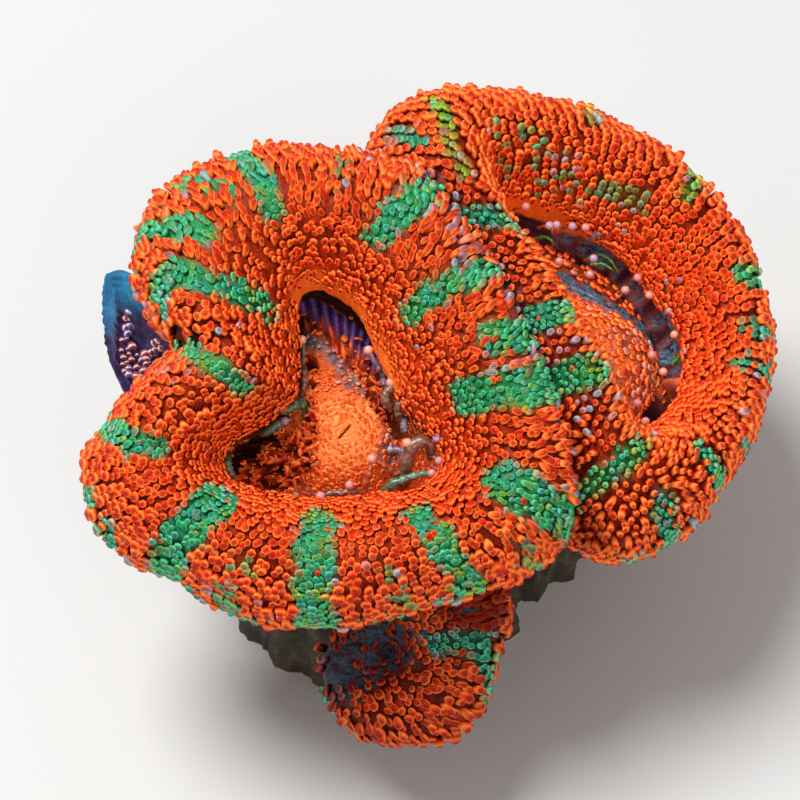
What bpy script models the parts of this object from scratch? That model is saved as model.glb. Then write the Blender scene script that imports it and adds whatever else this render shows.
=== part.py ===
"""Acan coral: a small colony cut from its rock.

Two large fleshy polyps press against each other, and a young polyp buds in front of them.  Each
is a puffed ring round a sunken mouth disc, ribbed by rows of swollen knobs.  Their stony skeleton
is a stout ribbed trunk under the front polyp, sawn off flat at z = 0, from which three parts
fork: the branch of the rear polyp, the branch of the bud, and a thin leaf of old wall on the left.

Sizes are in millimetres; the objects are made in metres.  +Z is up, and the front is -Y.
"""

import math

import bmesh
import bpy
import numpy as np
from mathutils import Vector

MM = 0.001
TURN = 2 * math.pi
SMOOTH_UNDER = math.radians(35)

# Neighbours stand this far apart.  Half of the seam's gap lies on each side of it, and a fork's is
# measured along the trunk's slanting spokes, so it is a little more.
GAP = 0.3
SEAM_HALF_GAP = 0.16
FORK_GAP = 0.45

# The seam where the two big polyps press together is part of a large ball, which bulges from the
# front polyp into the rear one at this point.
SEAM_POINT = (4.1, 0.5, 22.7)
SEAM_FACING = (0.874, 0.474, -0.109)
SEAM_RADIUS = 45.0
SEAM_SOFTNESS = 0.35

# Each station is (angle, lip radius, outer radius, crest height), seen from above the polyp,
# anticlockwise from its right.  Heights are above the mouth.
POLYPS = {
    "polyp_front": {
        "mouth": (-5.0, -4.3, 19.0),
        "axis": (0.0, -0.36, 0.93),
        "stations": (
            (0, 4.2, 13.2, 4.2),
            (25, 3.3, 12.4, 4.3),
            (45, 3.4, 12.9, 4.4),
            (69, 4.5, 14.6, 4.5),
            (90, 6.9, 14.9, 4.3),
            (108, 7.5, 15.9, 4.3),
            (118, 5.4, 16.1, 4.6),
            (130, 3.9, 15.7, 5.3),
            (143, 3.3, 13.7, 6.0),
            (153, 3.2, 10.0, 6.2),
            (164, 3.5, 10.4, 6.0),
            (178, 4.4, 12.2, 5.2),
            (190, 6.4, 13.8, 4.4),
            (203, 6.9, 13.8, 4.2),
            (220, 5.6, 11.9, 4.2),
            (245, 4.4, 10.9, 4.2),
            (270, 4.0, 10.2, 4.2),
            (300, 4.3, 10.2, 4.2),
            (322, 5.4, 12.0, 4.2),
            (342, 5.6, 13.4, 4.2),
        ),
        "disc_radius": 3.1,
        "groove_depth": 2.3,
        "seat_depth": 4.6,
        "seat_share": 0.7,
        "seam_side": -1,
        "ridges": 30,
        "beads": 6,
        "relief": 0.75,
        "rings": 23,
    },
    "polyp_rear": {
        "mouth": (9.4, 2.8, 16.0),
        "axis": (0.45, -0.05, 0.89),
        "stations": (
            (0, 5.0, 9.4, 4.1),
            (25, 5.2, 10.2, 4.3),
            (50, 5.6, 11.4, 4.6),
            (75, 6.6, 12.8, 4.8),
            (100, 8.0, 14.0, 4.8),
            (120, 9.4, 15.6, 4.7),
            (138, 11.0, 17.4, 4.5),
            (152, 7.6, 16.0, 4.8),
            (165, 4.6, 12.0, 5.0),
            (185, 3.2, 9.4, 5.0),
            (210, 3.0, 8.4, 5.0),
            (232, 3.2, 8.0, 5.0),
            (245, 3.9, 8.8, 4.9),
            (258, 4.8, 11.0, 4.6),
            (272, 5.5, 12.0, 4.4),
            (288, 5.5, 11.4, 4.2),
            (308, 5.2, 9.8, 4.0),
            (330, 5.0, 9.2, 4.0),
        ),
        "disc_radius": 3.2,
        "groove_depth": 2.0,
        "seat_depth": 4.8,
        "seat_share": 0.56,
        "seam_side": 1,
        "ridges": 28,
        "beads": 6,
        "relief": 0.75,
        "rings": 21,
    },
    "polyp_bud": {
        "mouth": (-2.6, -12.3, 8.6),
        "axis": (-0.28, -0.48, 0.83),
        "stations": (
            (0, 1.6, 5.8, 1.9),
            (35, 1.8, 7.0, 2.2),
            (60, 1.5, 4.6, 1.8),
            (95, 1.1, 2.9, 1.3),
            (135, 1.0, 2.6, 1.2),
            (180, 1.3, 3.6, 1.5),
            (215, 1.4, 4.2, 1.7),
            (250, 1.4, 4.6, 1.9),
            (285, 1.4, 4.9, 2.0),
            (320, 1.5, 5.6, 2.0),
        ),
        "disc_radius": 0.9,
        "groove_depth": 0.5,
        "seat_depth": 2.8,
        "seat_share": 0.5,
        "seam_side": 0,
        "ridges": 13,
        "beads": 3,
        "relief": 0.6,
        "rings": 13,
    },
}
SAMPLES_PER_RIDGE = 3
PIT_RINGS = 6

# A polyp's section has 15 knots: the pit's lip is the sixth, and the knobs end at the last but one.
LIP_SHARE = 5 / 14
KNOBS_END = 13 / 14

# The stems of the skeleton: each runs from its foot, an ellipse below the saw cut, up to the seat
# of its polyp, where its edge stands in from the polyp's.
STEMS = {
    "trunk": {"polyp": "polyp_front", "foot": (-2.8, -3.4), "foot_radii": (9.4, 8.4), "steps": 8},
    "branch_rear": {"polyp": "polyp_rear", "foot": (2.6, 0.8), "foot_radii": (7.6, 6.6), "steps": 7},
    "branch_bud": {"polyp": "polyp_bud", "foot": (-1.6, -3.8), "foot_radii": (5.2, 4.6), "steps": 5},
}
STEM_EDGE_INSET = 0.5
STEM_WAIST = 0.16
STEM_RIBS = 16
RIB_HEIGHT = 0.6
SAW_DEPTH = 3.0
SAW_BLOCK = 60.0

# The leaf of old wall: (centre, half width, thickness) up its middle line.
LEAF = (
    ((-6.6, -1.0, 4.0), 3.4, 4.0),
    ((-11.4, 1.0, 10.2), 4.0, 2.6),
    ((-15.4, 2.8, 14.4), 4.6, 1.7),
    ((-17.2, 3.6, 16.4), 4.4, 1.3),
    ((-18.2, 3.9, 17.9), 3.0, 0.9),
)
LEAF_ACROSS = (-0.1, 0.99, 0.1)
LEAF_SIDES = 10

COLOURS = {
    "polyp_front": ((0.85, 0.10, 0.02, 1), 0.5),
    "polyp_rear": ((0.80, 0.08, 0.02, 1), 0.5),
    "polyp_bud": ((0.70, 0.10, 0.04, 1), 0.5),
}
STONE = ((0.33, 0.30, 0.24, 1), 0.85)


def unit(vector):
    vector = np.asarray(vector, float)
    return vector / np.linalg.norm(vector)


def frame_of(axis):
    """Right, back and up directions of a polyp that faces along axis."""
    up = unit(axis)
    right = unit(np.array([1.0, 0.0, 0.0]) - up[0] * up)
    return right, np.cross(up, right), up


def around(stations, column, angles):
    """One column of the stations, read smoothly round the circle at the angles, in radians."""
    knots = np.radians([s[0] for s in stations])
    values = np.array([s[column] for s in stations], float)
    knots = np.concatenate([knots[-2:] - TURN, knots, knots[:2] + TURN])
    values = np.concatenate([values[-2:], values, values[:2]])
    slopes = np.gradient(values, knots)
    angles = np.mod(angles, TURN)
    cell = np.clip(np.searchsorted(knots, angles, side="right") - 1, 0, len(knots) - 2)
    width = knots[cell + 1] - knots[cell]
    x = (angles - knots[cell]) / width
    rise = 3 * x**2 - 2 * x**3
    return (
        values[cell] * (1 - rise)
        + values[cell + 1] * rise
        + slopes[cell] * width * (x - 2 * x**2 + x**3)
        + slopes[cell + 1] * width * (x**3 - x**2)
    )


def along(points, share):
    """A Catmull-Rom curve through points, an array (knots, ..., 2), read at share of its knots."""
    last = len(points) - 1
    place = np.clip(share, 0, 1) * last
    cell = min(int(place), last - 1)
    x = place - cell
    before = points[max(cell - 1, 0)]
    after = points[min(cell + 2, last)]
    here, there = points[cell], points[cell + 1]
    return 0.5 * (
        2 * here
        + (there - before) * x
        + (2 * before - 5 * here + 4 * there - after) * x**2
        + (3 * here - before - 3 * there + after) * x**3
    )


def profile(polyp, angles):
    """The section of a polyp at each angle, from its mouth over the ring to its seat, as
    (radius, height) knots."""
    lip = around(polyp["stations"], 1, angles)
    outer = around(polyp["stations"], 2, angles)
    crest = around(polyp["stations"], 3, angles)
    wide = outer - lip
    flat = np.ones_like(lip)
    disc = np.minimum(polyp["disc_radius"], lip - 0.25)
    groove = -polyp["groove_depth"] * flat
    under = -polyp["seat_depth"] * flat
    seat = polyp["seat_share"] * outer
    knots = (
        (0.05 * flat, 0.35 * flat),
        (0.6 * disc, 0.3 * flat),
        (disc, 0.25 * groove),
        (lip + 0.02 * wide, groove),
        (lip + 0.10 * wide, 0.35 * groove),
        (lip, 0.22 * crest),
        (lip + 0.13 * wide, 0.55 * crest),
        (lip + 0.34 * wide, 0.90 * crest),
        (lip + 0.58 * wide, crest),
        (lip + 0.82 * wide, 0.78 * crest),
        (outer, 0.22 * crest),
        (outer - 0.02 * wide, 0.28 * under),
        (outer - 0.14 * wide, 0.56 * under),
        (0.5 * (outer - 0.14 * wide + seat), 0.82 * under),
        (seat, under),
    )
    return np.array([np.stack(k, axis=-1) for k in knots])


def press(points, side):
    """Points that would pass the seam are flattened against it; side is -1 in front, 1 behind."""
    if side == 0:
        return points
    centre = np.array(SEAM_POINT) - SEAM_RADIUS * unit(SEAM_FACING)
    spoke = points - centre
    reach = np.linalg.norm(spoke, axis=-1, keepdims=True)
    room = side * (reach - SEAM_RADIUS) - SEAM_HALF_GAP
    kept = SEAM_SOFTNESS * np.logaddexp(0.0, room / SEAM_SOFTNESS)
    return points + side * (kept - room) * spoke / reach


def surface(polyp, angles, share, lift=0.0):
    """World points of the polyp's skin at one share of its section, raised by lift."""
    right, back, up = frame_of(polyp["axis"])
    knots = profile(polyp, angles)
    here = along(knots, share)
    if np.any(lift):
        step = along(knots, share + 0.004) - along(knots, share - 0.004)
        step /= np.linalg.norm(step, axis=1, keepdims=True)
        here = here + np.stack([-step[:, 1], step[:, 0]], axis=1) * np.reshape(lift, (-1, 1))
    out = np.outer(np.cos(angles), right) + np.outer(np.sin(angles), back)
    points = np.array(polyp["mouth"]) + out * here[:, :1] + np.outer(here[:, 1], up)
    return press(points, polyp["seam_side"])


def knobs(polyp, angles, share):
    """Height of the swollen knobs on the ring: rows of beads along radial ridges."""
    travel = (share - LIP_SHARE) / (KNOBS_END - LIP_SHARE)
    inside = np.clip(travel * 4, 0, 1) * np.clip((1 - travel) * 6, 0, 1)
    row = np.cos(polyp["ridges"] * angles)
    bead = np.cos(TURN * polyp["beads"] * travel)
    return inside * polyp["relief"] * (0.5 + 0.28 * row + 0.22 * row * bead)


def loft(rings):
    """Skins rings of points into one closed shell."""
    bm = bmesh.new()
    made = [[bm.verts.new(Vector(p) * MM) for p in ring] for ring in rings]
    for low, high in zip(made, made[1:]):
        for i in range(len(low)):
            j = (i + 1) % len(low)
            bm.faces.new((low[i], low[j], high[j], high[i]))
    bm.faces.new(made[0][::-1])
    bm.faces.new(made[-1])
    return bm


def add_object(name, bm, finish=None):
    """An object from a bmesh, with a (colour, roughness) finish unless it is a cutter."""
    bmesh.ops.recalc_face_normals(bm, faces=bm.faces)
    mesh = bpy.data.meshes.new(name)
    bm.to_mesh(mesh)
    bm.free()
    mesh.shade_smooth()
    mesh.set_sharp_from_angle(angle=SMOOTH_UNDER)
    thing = bpy.data.objects.new(name, mesh)
    bpy.context.scene.collection.objects.link(thing)
    if finish:
        material = bpy.data.materials.new(name)
        material.use_nodes = True
        shader = material.node_tree.nodes["Principled BSDF"]
        shader.inputs["Base Color"].default_value = finish[0]
        shader.inputs["Roughness"].default_value = finish[1]
        shader.inputs["Metallic"].default_value = 0.0
        mesh.materials.append(material)
    return thing


def make_polyp(name):
    polyp = POLYPS[name]
    count = polyp["ridges"] * SAMPLES_PER_RIDGE
    angles = np.arange(count) * TURN / count
    shares = np.concatenate([
        np.linspace(0, LIP_SHARE, PIT_RINGS, endpoint=False),
        np.linspace(LIP_SHARE, 1, polyp["rings"] - PIT_RINGS),
    ])
    rings = [surface(polyp, angles, s, knobs(polyp, angles, s)) for s in shares]
    return add_object(name, loft(rings), COLOURS[name])


def stem_rings(name, swell=0.0):
    """Rings from below the saw cut up to just under the polyp's seat, widened by swell."""
    stem = STEMS[name]
    polyp = POLYPS[stem["polyp"]]
    right, back, up = frame_of(polyp["axis"])
    count = STEM_RIBS * 2
    angles = np.arange(count) * TURN / count
    seat = polyp["seat_share"] * around(polyp["stations"], 2, angles) - STEM_EDGE_INSET
    out = np.outer(np.cos(angles), right) + np.outer(np.sin(angles), back)
    top = np.array(polyp["mouth"]) - up * (polyp["seat_depth"] + GAP) + out * seat[:, None]
    top = press(top, polyp["seam_side"])
    foot = np.array([
        stem["foot"][0] + stem["foot_radii"][0] * np.cos(angles),
        stem["foot"][1] + stem["foot_radii"][1] * np.sin(angles),
        np.full(count, -SAW_DEPTH),
    ]).T
    ribs = 0.5 * RIB_HEIGHT * np.cos(STEM_RIBS * angles)[:, None]
    rings = []
    for k in range(stem["steps"] + 1):
        rise = k / stem["steps"]
        ring = foot * (1 - rise) + top * rise
        middle = ring.mean(axis=0)
        spoke = (ring - middle) * (1 - STEM_WAIST * math.sin(math.pi * rise))
        reach = np.linalg.norm(spoke, axis=1, keepdims=True)
        rib_fade = 0.0 if k == stem["steps"] else 1.0
        rings.append(middle + spoke * (1 + (ribs * rib_fade + swell) / reach))
    return rings


def leaf_rings():
    """The leaf of old wall: flattened ovals along its middle line."""
    across = unit(LEAF_ACROSS)
    middle = [np.array(centre, float) for centre, _, _ in LEAF]
    angles = np.arange(LEAF_SIDES) * TURN / LEAF_SIDES
    rings = []
    for k, (_, half, thick) in enumerate(LEAF):
        ahead = unit(middle[min(k + 1, len(LEAF) - 1)] - middle[max(k - 1, 0)])
        through = unit(np.cross(ahead, across))
        oval = np.outer(half * np.cos(angles), across) + np.outer(0.5 * thick * np.sin(angles), through)
        rings.append(middle[k] + oval)
    return rings


def make_cutter(name, bm):
    cutter = add_object(name, bm)
    cutter.hide_render = True
    cutter.display_type = "WIRE"
    return cutter


def cut(thing, cutter):
    modifier = thing.modifiers.new(cutter.name, "BOOLEAN")
    modifier.operation = "DIFFERENCE"
    modifier.object = cutter


def make_skeleton():
    """The trunk and the three parts that fork from it, each cut back to a gap off the trunk."""
    block = bmesh.new()
    bmesh.ops.create_cube(block, size=SAW_BLOCK * MM)
    bmesh.ops.translate(block, verts=block.verts, vec=(0, 0, -SAW_BLOCK / 2 * MM))
    saw = make_cutter("saw", block)
    clearance = make_cutter("trunk_clearance", loft(stem_rings("trunk", swell=FORK_GAP)))

    cut(add_object("trunk", loft(stem_rings("trunk")), STONE), saw)
    forks = {
        "branch_rear": stem_rings("branch_rear"),
        "branch_bud": stem_rings("branch_bud"),
        "old_wall": leaf_rings(),
    }
    for name, rings in forks.items():
        fork = add_object(name, loft(rings), STONE)
        cut(fork, clearance)
        cut(fork, saw)


def main():
    for thing in list(bpy.data.objects):
        bpy.data.objects.remove(thing, do_unlink=True)
    for name in POLYPS:
        make_polyp(name)
    make_skeleton()


main()
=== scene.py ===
import math

import bmesh
import bpy
import numpy as np
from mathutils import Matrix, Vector, noise


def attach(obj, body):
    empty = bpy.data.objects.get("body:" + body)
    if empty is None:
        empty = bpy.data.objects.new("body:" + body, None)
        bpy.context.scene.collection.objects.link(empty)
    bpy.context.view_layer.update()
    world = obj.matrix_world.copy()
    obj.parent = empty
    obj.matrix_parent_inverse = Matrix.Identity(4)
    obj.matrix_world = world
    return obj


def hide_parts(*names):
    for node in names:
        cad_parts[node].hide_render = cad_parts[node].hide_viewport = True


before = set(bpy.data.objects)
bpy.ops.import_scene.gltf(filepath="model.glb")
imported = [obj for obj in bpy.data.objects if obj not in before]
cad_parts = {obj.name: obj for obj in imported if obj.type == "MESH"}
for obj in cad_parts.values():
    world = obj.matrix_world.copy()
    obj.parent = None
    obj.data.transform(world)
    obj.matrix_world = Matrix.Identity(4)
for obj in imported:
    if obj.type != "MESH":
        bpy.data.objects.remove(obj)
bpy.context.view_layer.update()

# Sizes below are in millimetres; meshes are made in metres.
mm = 0.001
turn = 2 * math.pi
discShare = 2 / 14  # where the mouth disc ends along a polyp's section
lipShare = 5 / 14  # where the pit's lip lies

# The two big polyps press together along part of a large ball.
seam = {
    "point": (4.1, 0.5, 22.7),
    "facing": (0.874, 0.474, -0.109),
    "radius": 45.0,
    "halfGap": 0.02,
    "softness": 0.35,
}

# Each station is (angle, lip radius, outer radius, crest height), anticlockwise from the right.
frontPolyp = {
    "node": "polyp_front",
    "mouth": (-5.0, -4.3, 19.0),
    "axis": (0.0, -0.36, 0.93),
    "stations": (
        (0, 4.2, 13.2, 4.2), (25, 3.3, 12.4, 4.3), (45, 3.4, 12.9, 4.4), (69, 4.5, 14.6, 4.5),
        (90, 6.9, 14.9, 4.3), (108, 7.5, 15.9, 4.3), (118, 5.4, 16.1, 4.6), (130, 3.9, 15.7, 5.3),
        (143, 3.3, 13.7, 6.0), (153, 3.2, 10.0, 6.2), (164, 3.5, 10.4, 6.0), (178, 4.4, 12.2, 5.2),
        (190, 6.4, 13.8, 4.4), (203, 6.9, 13.8, 4.2), (220, 5.6, 11.9, 4.2), (245, 4.4, 10.9, 4.2),
        (270, 4.0, 10.2, 4.2), (300, 4.3, 10.2, 4.2), (322, 5.4, 12.0, 4.2), (342, 5.6, 13.4, 4.2),
    ),
    "discRadius": 3.1,
    "grooveDepth": 2.3,
    "seatDepth": 4.6,
    "seatShare": 0.7,
    "seamSide": -1,
}
rearPolyp = {
    "node": "polyp_rear",
    "mouth": (9.4, 2.8, 16.0),
    "axis": (0.45, -0.05, 0.89),
    "stations": (
        (0, 5.0, 9.4, 4.1), (25, 5.2, 10.2, 4.3), (50, 5.6, 11.4, 4.6), (75, 6.6, 12.8, 4.8),
        (100, 8.0, 14.0, 4.8), (120, 9.4, 15.6, 4.7), (138, 11.0, 17.4, 4.5), (152, 7.6, 16.0, 4.8),
        (165, 4.6, 12.0, 5.0), (185, 3.2, 9.4, 5.0), (210, 3.0, 8.4, 5.0), (232, 3.2, 8.0, 5.0),
        (245, 3.9, 8.8, 4.9), (258, 4.8, 11.0, 4.6), (272, 5.5, 12.0, 4.4), (288, 5.5, 11.4, 4.2),
        (308, 5.2, 9.8, 4.0), (330, 5.0, 9.2, 4.0),
    ),
    "discRadius": 3.2,
    "grooveDepth": 2.0,
    "seatDepth": 4.8,
    "seatShare": 0.56,
    "seamSide": 1,
}
budPolyp = {
    "node": "polyp_bud",
    "mouth": (-2.6, -12.3, 8.6),
    "axis": (-0.28, -0.48, 0.83),
    "stations": (
        (0, 0.5, 5.8, 1.9), (35, 0.6, 7.0, 2.2), (60, 0.5, 4.6, 1.8), (95, 0.5, 2.9, 1.3),
        (135, 0.5, 2.6, 1.2), (180, 0.5, 3.6, 1.5), (215, 0.5, 4.2, 1.7), (250, 0.5, 4.6, 1.9),
        (285, 0.5, 4.9, 2.0), (320, 0.5, 5.6, 2.0),
    ),
    "discRadius": 0.2,
    "grooveDepth": 0.5,
    "seatDepth": 2.8,
    "seatShare": 0.5,
    "seamSide": 0,
}


def unit(vectors):
    vectors = np.asarray(vectors, float)
    return vectors / np.linalg.norm(vectors, axis=-1, keepdims=True)


def smooth(values, low, high):
    # 0 below low, 1 above high, an even ramp between; the other way round if low is above high
    x = np.clip((values - low) / (high - low), 0, 1)
    return x * x * (3 - 2 * x)


def lumps(points, size, seed=0.0):
    # soft random heights, about -1 to 1, with lumps size across
    return np.array([noise.noise(Vector(p)) for p in np.asarray(points) / size + seed]) * 1.6


def frameOf(axis):
    up = unit(axis)
    right = unit(np.array([1.0, 0.0, 0.0]) - up[0] * up)
    return right, np.cross(up, right), up


def around(stations, column, angles):
    knots = np.radians([s[0] for s in stations])
    values = np.array([s[column] for s in stations], float)
    knots = np.concatenate([knots[-2:] - turn, knots, knots[:2] + turn])
    values = np.concatenate([values[-2:], values, values[:2]])
    slopes = np.gradient(values, knots)
    angles = np.mod(angles, turn)
    cell = np.clip(np.searchsorted(knots, angles, side="right") - 1, 0, len(knots) - 2)
    width = knots[cell + 1] - knots[cell]
    x = (angles - knots[cell]) / width
    rise = 3 * x**2 - 2 * x**3
    bend = slopes[cell] * width * (x - 2 * x**2 + x**3) + slopes[cell + 1] * width * (x**3 - x**2)
    return values[cell] * (1 - rise) + values[cell + 1] * rise + bend


def along(knots, shares):
    # a Catmull-Rom curve through knots (count, places, size), read at one share per place
    last = len(knots) - 1
    place = np.clip(shares, 0, 1) * last
    cell = np.minimum(place.astype(int), last - 1)
    x = (place - cell)[:, None]
    column = np.arange(knots.shape[1])
    before = knots[np.maximum(cell - 1, 0), column]
    here = knots[cell, column]
    there = knots[cell + 1, column]
    after = knots[np.minimum(cell + 2, last), column]
    curve = 2 * here + (there - before) * x
    curve += (2 * before - 5 * here + 4 * there - after) * x**2
    return 0.5 * (curve + (3 * here - before - 3 * there + after) * x**3)


def profile(polyp, angles):
    # (radius, height) knots of the section, from the mouth over the ring to the seat
    lip = around(polyp["stations"], 1, angles)
    outer = around(polyp["stations"], 2, angles)
    crest = around(polyp["stations"], 3, angles)
    wide = outer - lip
    flat = np.ones_like(lip)
    disc = np.minimum(polyp["discRadius"], lip - 0.25)
    groove = -polyp["grooveDepth"] * flat
    under = -polyp["seatDepth"] * flat
    seat = polyp["seatShare"] * outer
    knots = (
        (0.05 * flat, 0.35 * flat),
        (0.6 * disc, 0.3 * flat),
        (disc, 0.25 * groove),
        (lip + 0.02 * wide, groove),
        (lip + 0.10 * wide, 0.35 * groove),
        (lip, 0.22 * crest),
        (lip + 0.13 * wide, 0.55 * crest),
        (lip + 0.34 * wide, 0.90 * crest),
        (lip + 0.58 * wide, crest),
        (lip + 0.82 * wide, 0.78 * crest),
        (outer, 0.22 * crest),
        (outer - 0.02 * wide, 0.28 * under),
        (outer - 0.14 * wide, 0.56 * under),
        (0.5 * (outer - 0.14 * wide + seat), 0.82 * under),
        (seat, under),
    )
    return np.array([np.stack(k, axis=-1) for k in knots])


def seamRoom(points, side):
    # how far points stand clear of the seam, on their own side, and the way straight away from it
    centre = np.array(seam["point"]) - seam["radius"] * unit(seam["facing"])
    spoke = points - centre
    reach = np.linalg.norm(spoke, axis=-1, keepdims=True)
    return side * (reach - seam["radius"]) - seam["halfGap"], side * spoke / reach


def press(points, side):
    if side == 0:
        return points
    room, away = seamRoom(points, side)
    kept = seam["softness"] * np.logaddexp(0.0, room / seam["softness"])
    return points + (kept - room) * away


def skinPoint(polyp, angles, shares, lift=0.0):
    right, back, up = frameOf(polyp["axis"])
    knots = profile(polyp, angles)
    here = along(knots, shares)
    step = unit(along(knots, shares + 0.004) - along(knots, shares - 0.004))
    here = here + np.stack([-step[:, 1], step[:, 0]], axis=1) * np.reshape(lift, (-1, 1))
    out = np.outer(np.cos(angles), right) + np.outer(np.sin(angles), back)
    points = np.array(polyp["mouth"]) + out * here[:, :1] + np.outer(here[:, 1], up)
    return press(points, polyp["seamSide"])


def skinFrame(polyp, angles, shares):
    # points on the skin, with the ways out from the mouth, round it, and off the skin
    nudge = 0.004
    ahead = skinPoint(polyp, angles, np.minimum(shares + nudge, 1))
    outward = unit(ahead - skinPoint(polyp, angles, np.maximum(shares - nudge, 0)))
    aside = skinPoint(polyp, angles + nudge, shares) - skinPoint(polyp, angles - nudge, shares)
    normal = unit(np.cross(outward, aside))
    return skinPoint(polyp, angles, shares), outward, np.cross(normal, outward), normal


def ringShare(travel):
    return lipShare + travel * (1 - lipShare)


class Wire:
    # one socket of a node tree, which takes part in sums; other nodes come from node()
    def __init__(self, tree, socket=None):
        self.tree = tree
        self.socket = socket

    def node(self, kind, settings=None, sockets=None, out=0):
        made = self.tree.nodes.new(kind)
        for name, value in (settings or {}).items():
            if name == "stops":
                fillRamp(made.color_ramp, value)
            else:
                setattr(made, name, value)
        for key, value in (sockets or {}).items():
            if isinstance(value, Wire):
                self.tree.links.new(value.socket, made.inputs[key])
            elif isinstance(value, list):
                for wire in value:
                    self.tree.links.new(wire.socket, made.inputs[key])
            else:
                made.inputs[key].default_value = value
        return Wire(self.tree, made.outputs[out] if made.outputs else None)

    def sum(self, operation, first, second):
        return self.node("ShaderNodeMath", {"operation": operation}, {0: first, 1: second})

    def __add__(self, other):
        return self.sum("ADD", self, other)

    def __radd__(self, other):
        return self.sum("ADD", other, self)

    def __sub__(self, other):
        return self.sum("SUBTRACT", self, other)

    def __rsub__(self, other):
        return self.sum("SUBTRACT", other, self)

    def __mul__(self, other):
        return self.sum("MULTIPLY", self, other)

    def __rmul__(self, other):
        return self.sum("MULTIPLY", other, self)

    def __pow__(self, other):
        return self.sum("POWER", self, other)


def fillRamp(bar, stops):
    # each stop is (place, red, green, blue), with its colour as on a screen, 0 to 255
    while len(bar.elements) < len(stops):
        bar.elements.new(1.0)
    for element, (place, *screen) in zip(bar.elements, stops):
        element.position = place
        element.color = tone(*screen)


def clamp(wire, low=0.0, high=1.0):
    return wire.node("ShaderNodeClamp", None, {"Value": wire, "Min": low, "Max": high})


def ramp(wire, *stops):
    return wire.node("ShaderNodeValToRGB", {"stops": stops}, {"Fac": wire})


def blend(factor, first, second, way="MIX"):
    settings = {"data_type": "RGBA", "blend_type": way}
    return factor.node("ShaderNodeMix", settings, {0: factor, 6: first, 7: second}, 2)


def shaderAttribute(start, name):
    return start.node("ShaderNodeAttribute", {"attribute_name": name}, None, "Fac")


def tone(red, green, blue):
    # a colour from its 0-255 screen values
    linear = [((c / 255 + 0.055) / 1.055) ** 2.4 for c in (red, green, blue)]
    return (*linear, 1.0)


def newMaterial(name, roughness, coat=0.0, coatRoughness=0.3):
    material = bpy.data.materials.new(name)
    material.use_nodes = True
    tree = material.node_tree
    shader = tree.nodes["Principled BSDF"]
    shader.inputs["Roughness"].default_value = roughness
    shader.inputs["Coat Weight"].default_value = coat
    shader.inputs["Coat Roughness"].default_value = coatRoughness
    start = Wire(tree)
    place = start.node("ShaderNodeTexCoord", None, None, "Object")
    place = start.node("ShaderNodeVectorMath", {"operation": "SCALE"}, {0: place, "Scale": 1 / mm})
    return material, shader, start, place


def grain(place, size, detail=3.0, roughness=0.55, out="Fac"):
    sockets = {"Vector": place, "Scale": 1 / size, "Detail": detail, "Roughness": roughness}
    return place.node("ShaderNodeTexNoise", None, sockets, out)


def finishShader(start, shader, colour, height=None, bump=0.0):
    start.tree.links.new(colour.socket, shader.inputs["Base Color"])
    if height is not None:
        sockets = {"Height": height, "Strength": bump, "Distance": 0.1 * mm}
        normal = start.node("ShaderNodeBump", None, sockets)
        start.tree.links.new(normal.socket, shader.inputs["Normal"])


def newTree(name, inputs):
    # a geometry tree with its named inputs; gives the tree, and its inputs as wires by name
    tree = bpy.data.node_groups.new(name, "GeometryNodeTree")
    tree.interface.new_socket("Geometry", in_out="INPUT", socket_type="NodeSocketGeometry")
    for label, kind in inputs.items():
        tree.interface.new_socket(label, in_out="INPUT", socket_type="NodeSocket" + kind)
    tree.interface.new_socket("Geometry", in_out="OUTPUT", socket_type="NodeSocketGeometry")
    entry = tree.nodes.new("NodeGroupInput")
    wires = {s.name: Wire(tree, s) for s in entry.outputs if s.name}
    return tree, wires


def endTree(tree, shape, material):
    shape = shape.node("GeometryNodeSetShadeSmooth", None, {"Geometry": shape})
    shape = shape.node("GeometryNodeSetMaterial", None, {"Geometry": shape, "Material": material})
    result = tree.nodes.new("NodeGroupOutput")
    tree.links.new(shape.socket, result.inputs[0])


def named(wire, name, kind="FLOAT"):
    return wire.node("GeometryNodeInputNamedAttribute", {"data_type": kind}, {"Name": name})


def grow(name, seedMesh, tree, values):
    # runs a geometry tree on a mesh of points and keeps the result as a plain mesh
    holder = bpy.data.objects.new(name, seedMesh)
    bpy.context.scene.collection.objects.link(holder)
    modifier = holder.modifiers.new("grow", "NODES")
    modifier.node_group = tree
    for item in tree.interface.items_tree:
        if item.in_out == "INPUT" and item.name in values:
            modifier[item.identifier] = values[item.name]
    bpy.context.view_layer.update()
    graph = bpy.context.evaluated_depsgraph_get()
    mesh = bpy.data.meshes.new_from_object(holder.evaluated_get(graph))
    holder.modifiers.remove(modifier)
    holder.data = mesh
    mesh.name = name
    bpy.data.meshes.remove(seedMesh)
    return holder


def storeValues(mesh, name, values, kind="FLOAT"):
    layer = mesh.attributes.new(name, kind, "POINT")
    key = "vector" if kind == "FLOAT_VECTOR" else "value"
    layer.data.foreach_set(key, np.ascontiguousarray(values, np.float32).ravel())


def pointMesh(name, points, edges, masks):
    mesh = bpy.data.meshes.new(name)
    mesh.from_pydata((np.asarray(points) * mm).tolist(), edges, [])
    for key, values in masks.items():
        values = np.asarray(values, float)
        storeValues(mesh, key, values, "FLOAT_VECTOR" if values.ndim == 2 else "FLOAT")
    return mesh


def shellFaces(rings, count):
    # quads between closed rings of count points, and a fan at each end
    ring = np.arange(rings - 1)[:, None] * count
    here = ring + np.arange(count)[None, :]
    there = ring + (np.arange(count)[None, :] + 1) % count
    quads = np.stack([here, here + count, there + count, there], axis=-1).reshape(-1, 4).tolist()
    first, last = rings * count, rings * count + 1
    rim = (rings - 1) * count
    fans = [(first, j, (j + 1) % count) for j in range(count)]
    fans += [(last, rim + (j + 1) % count, rim + j) for j in range(count)]
    return quads + fans


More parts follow.
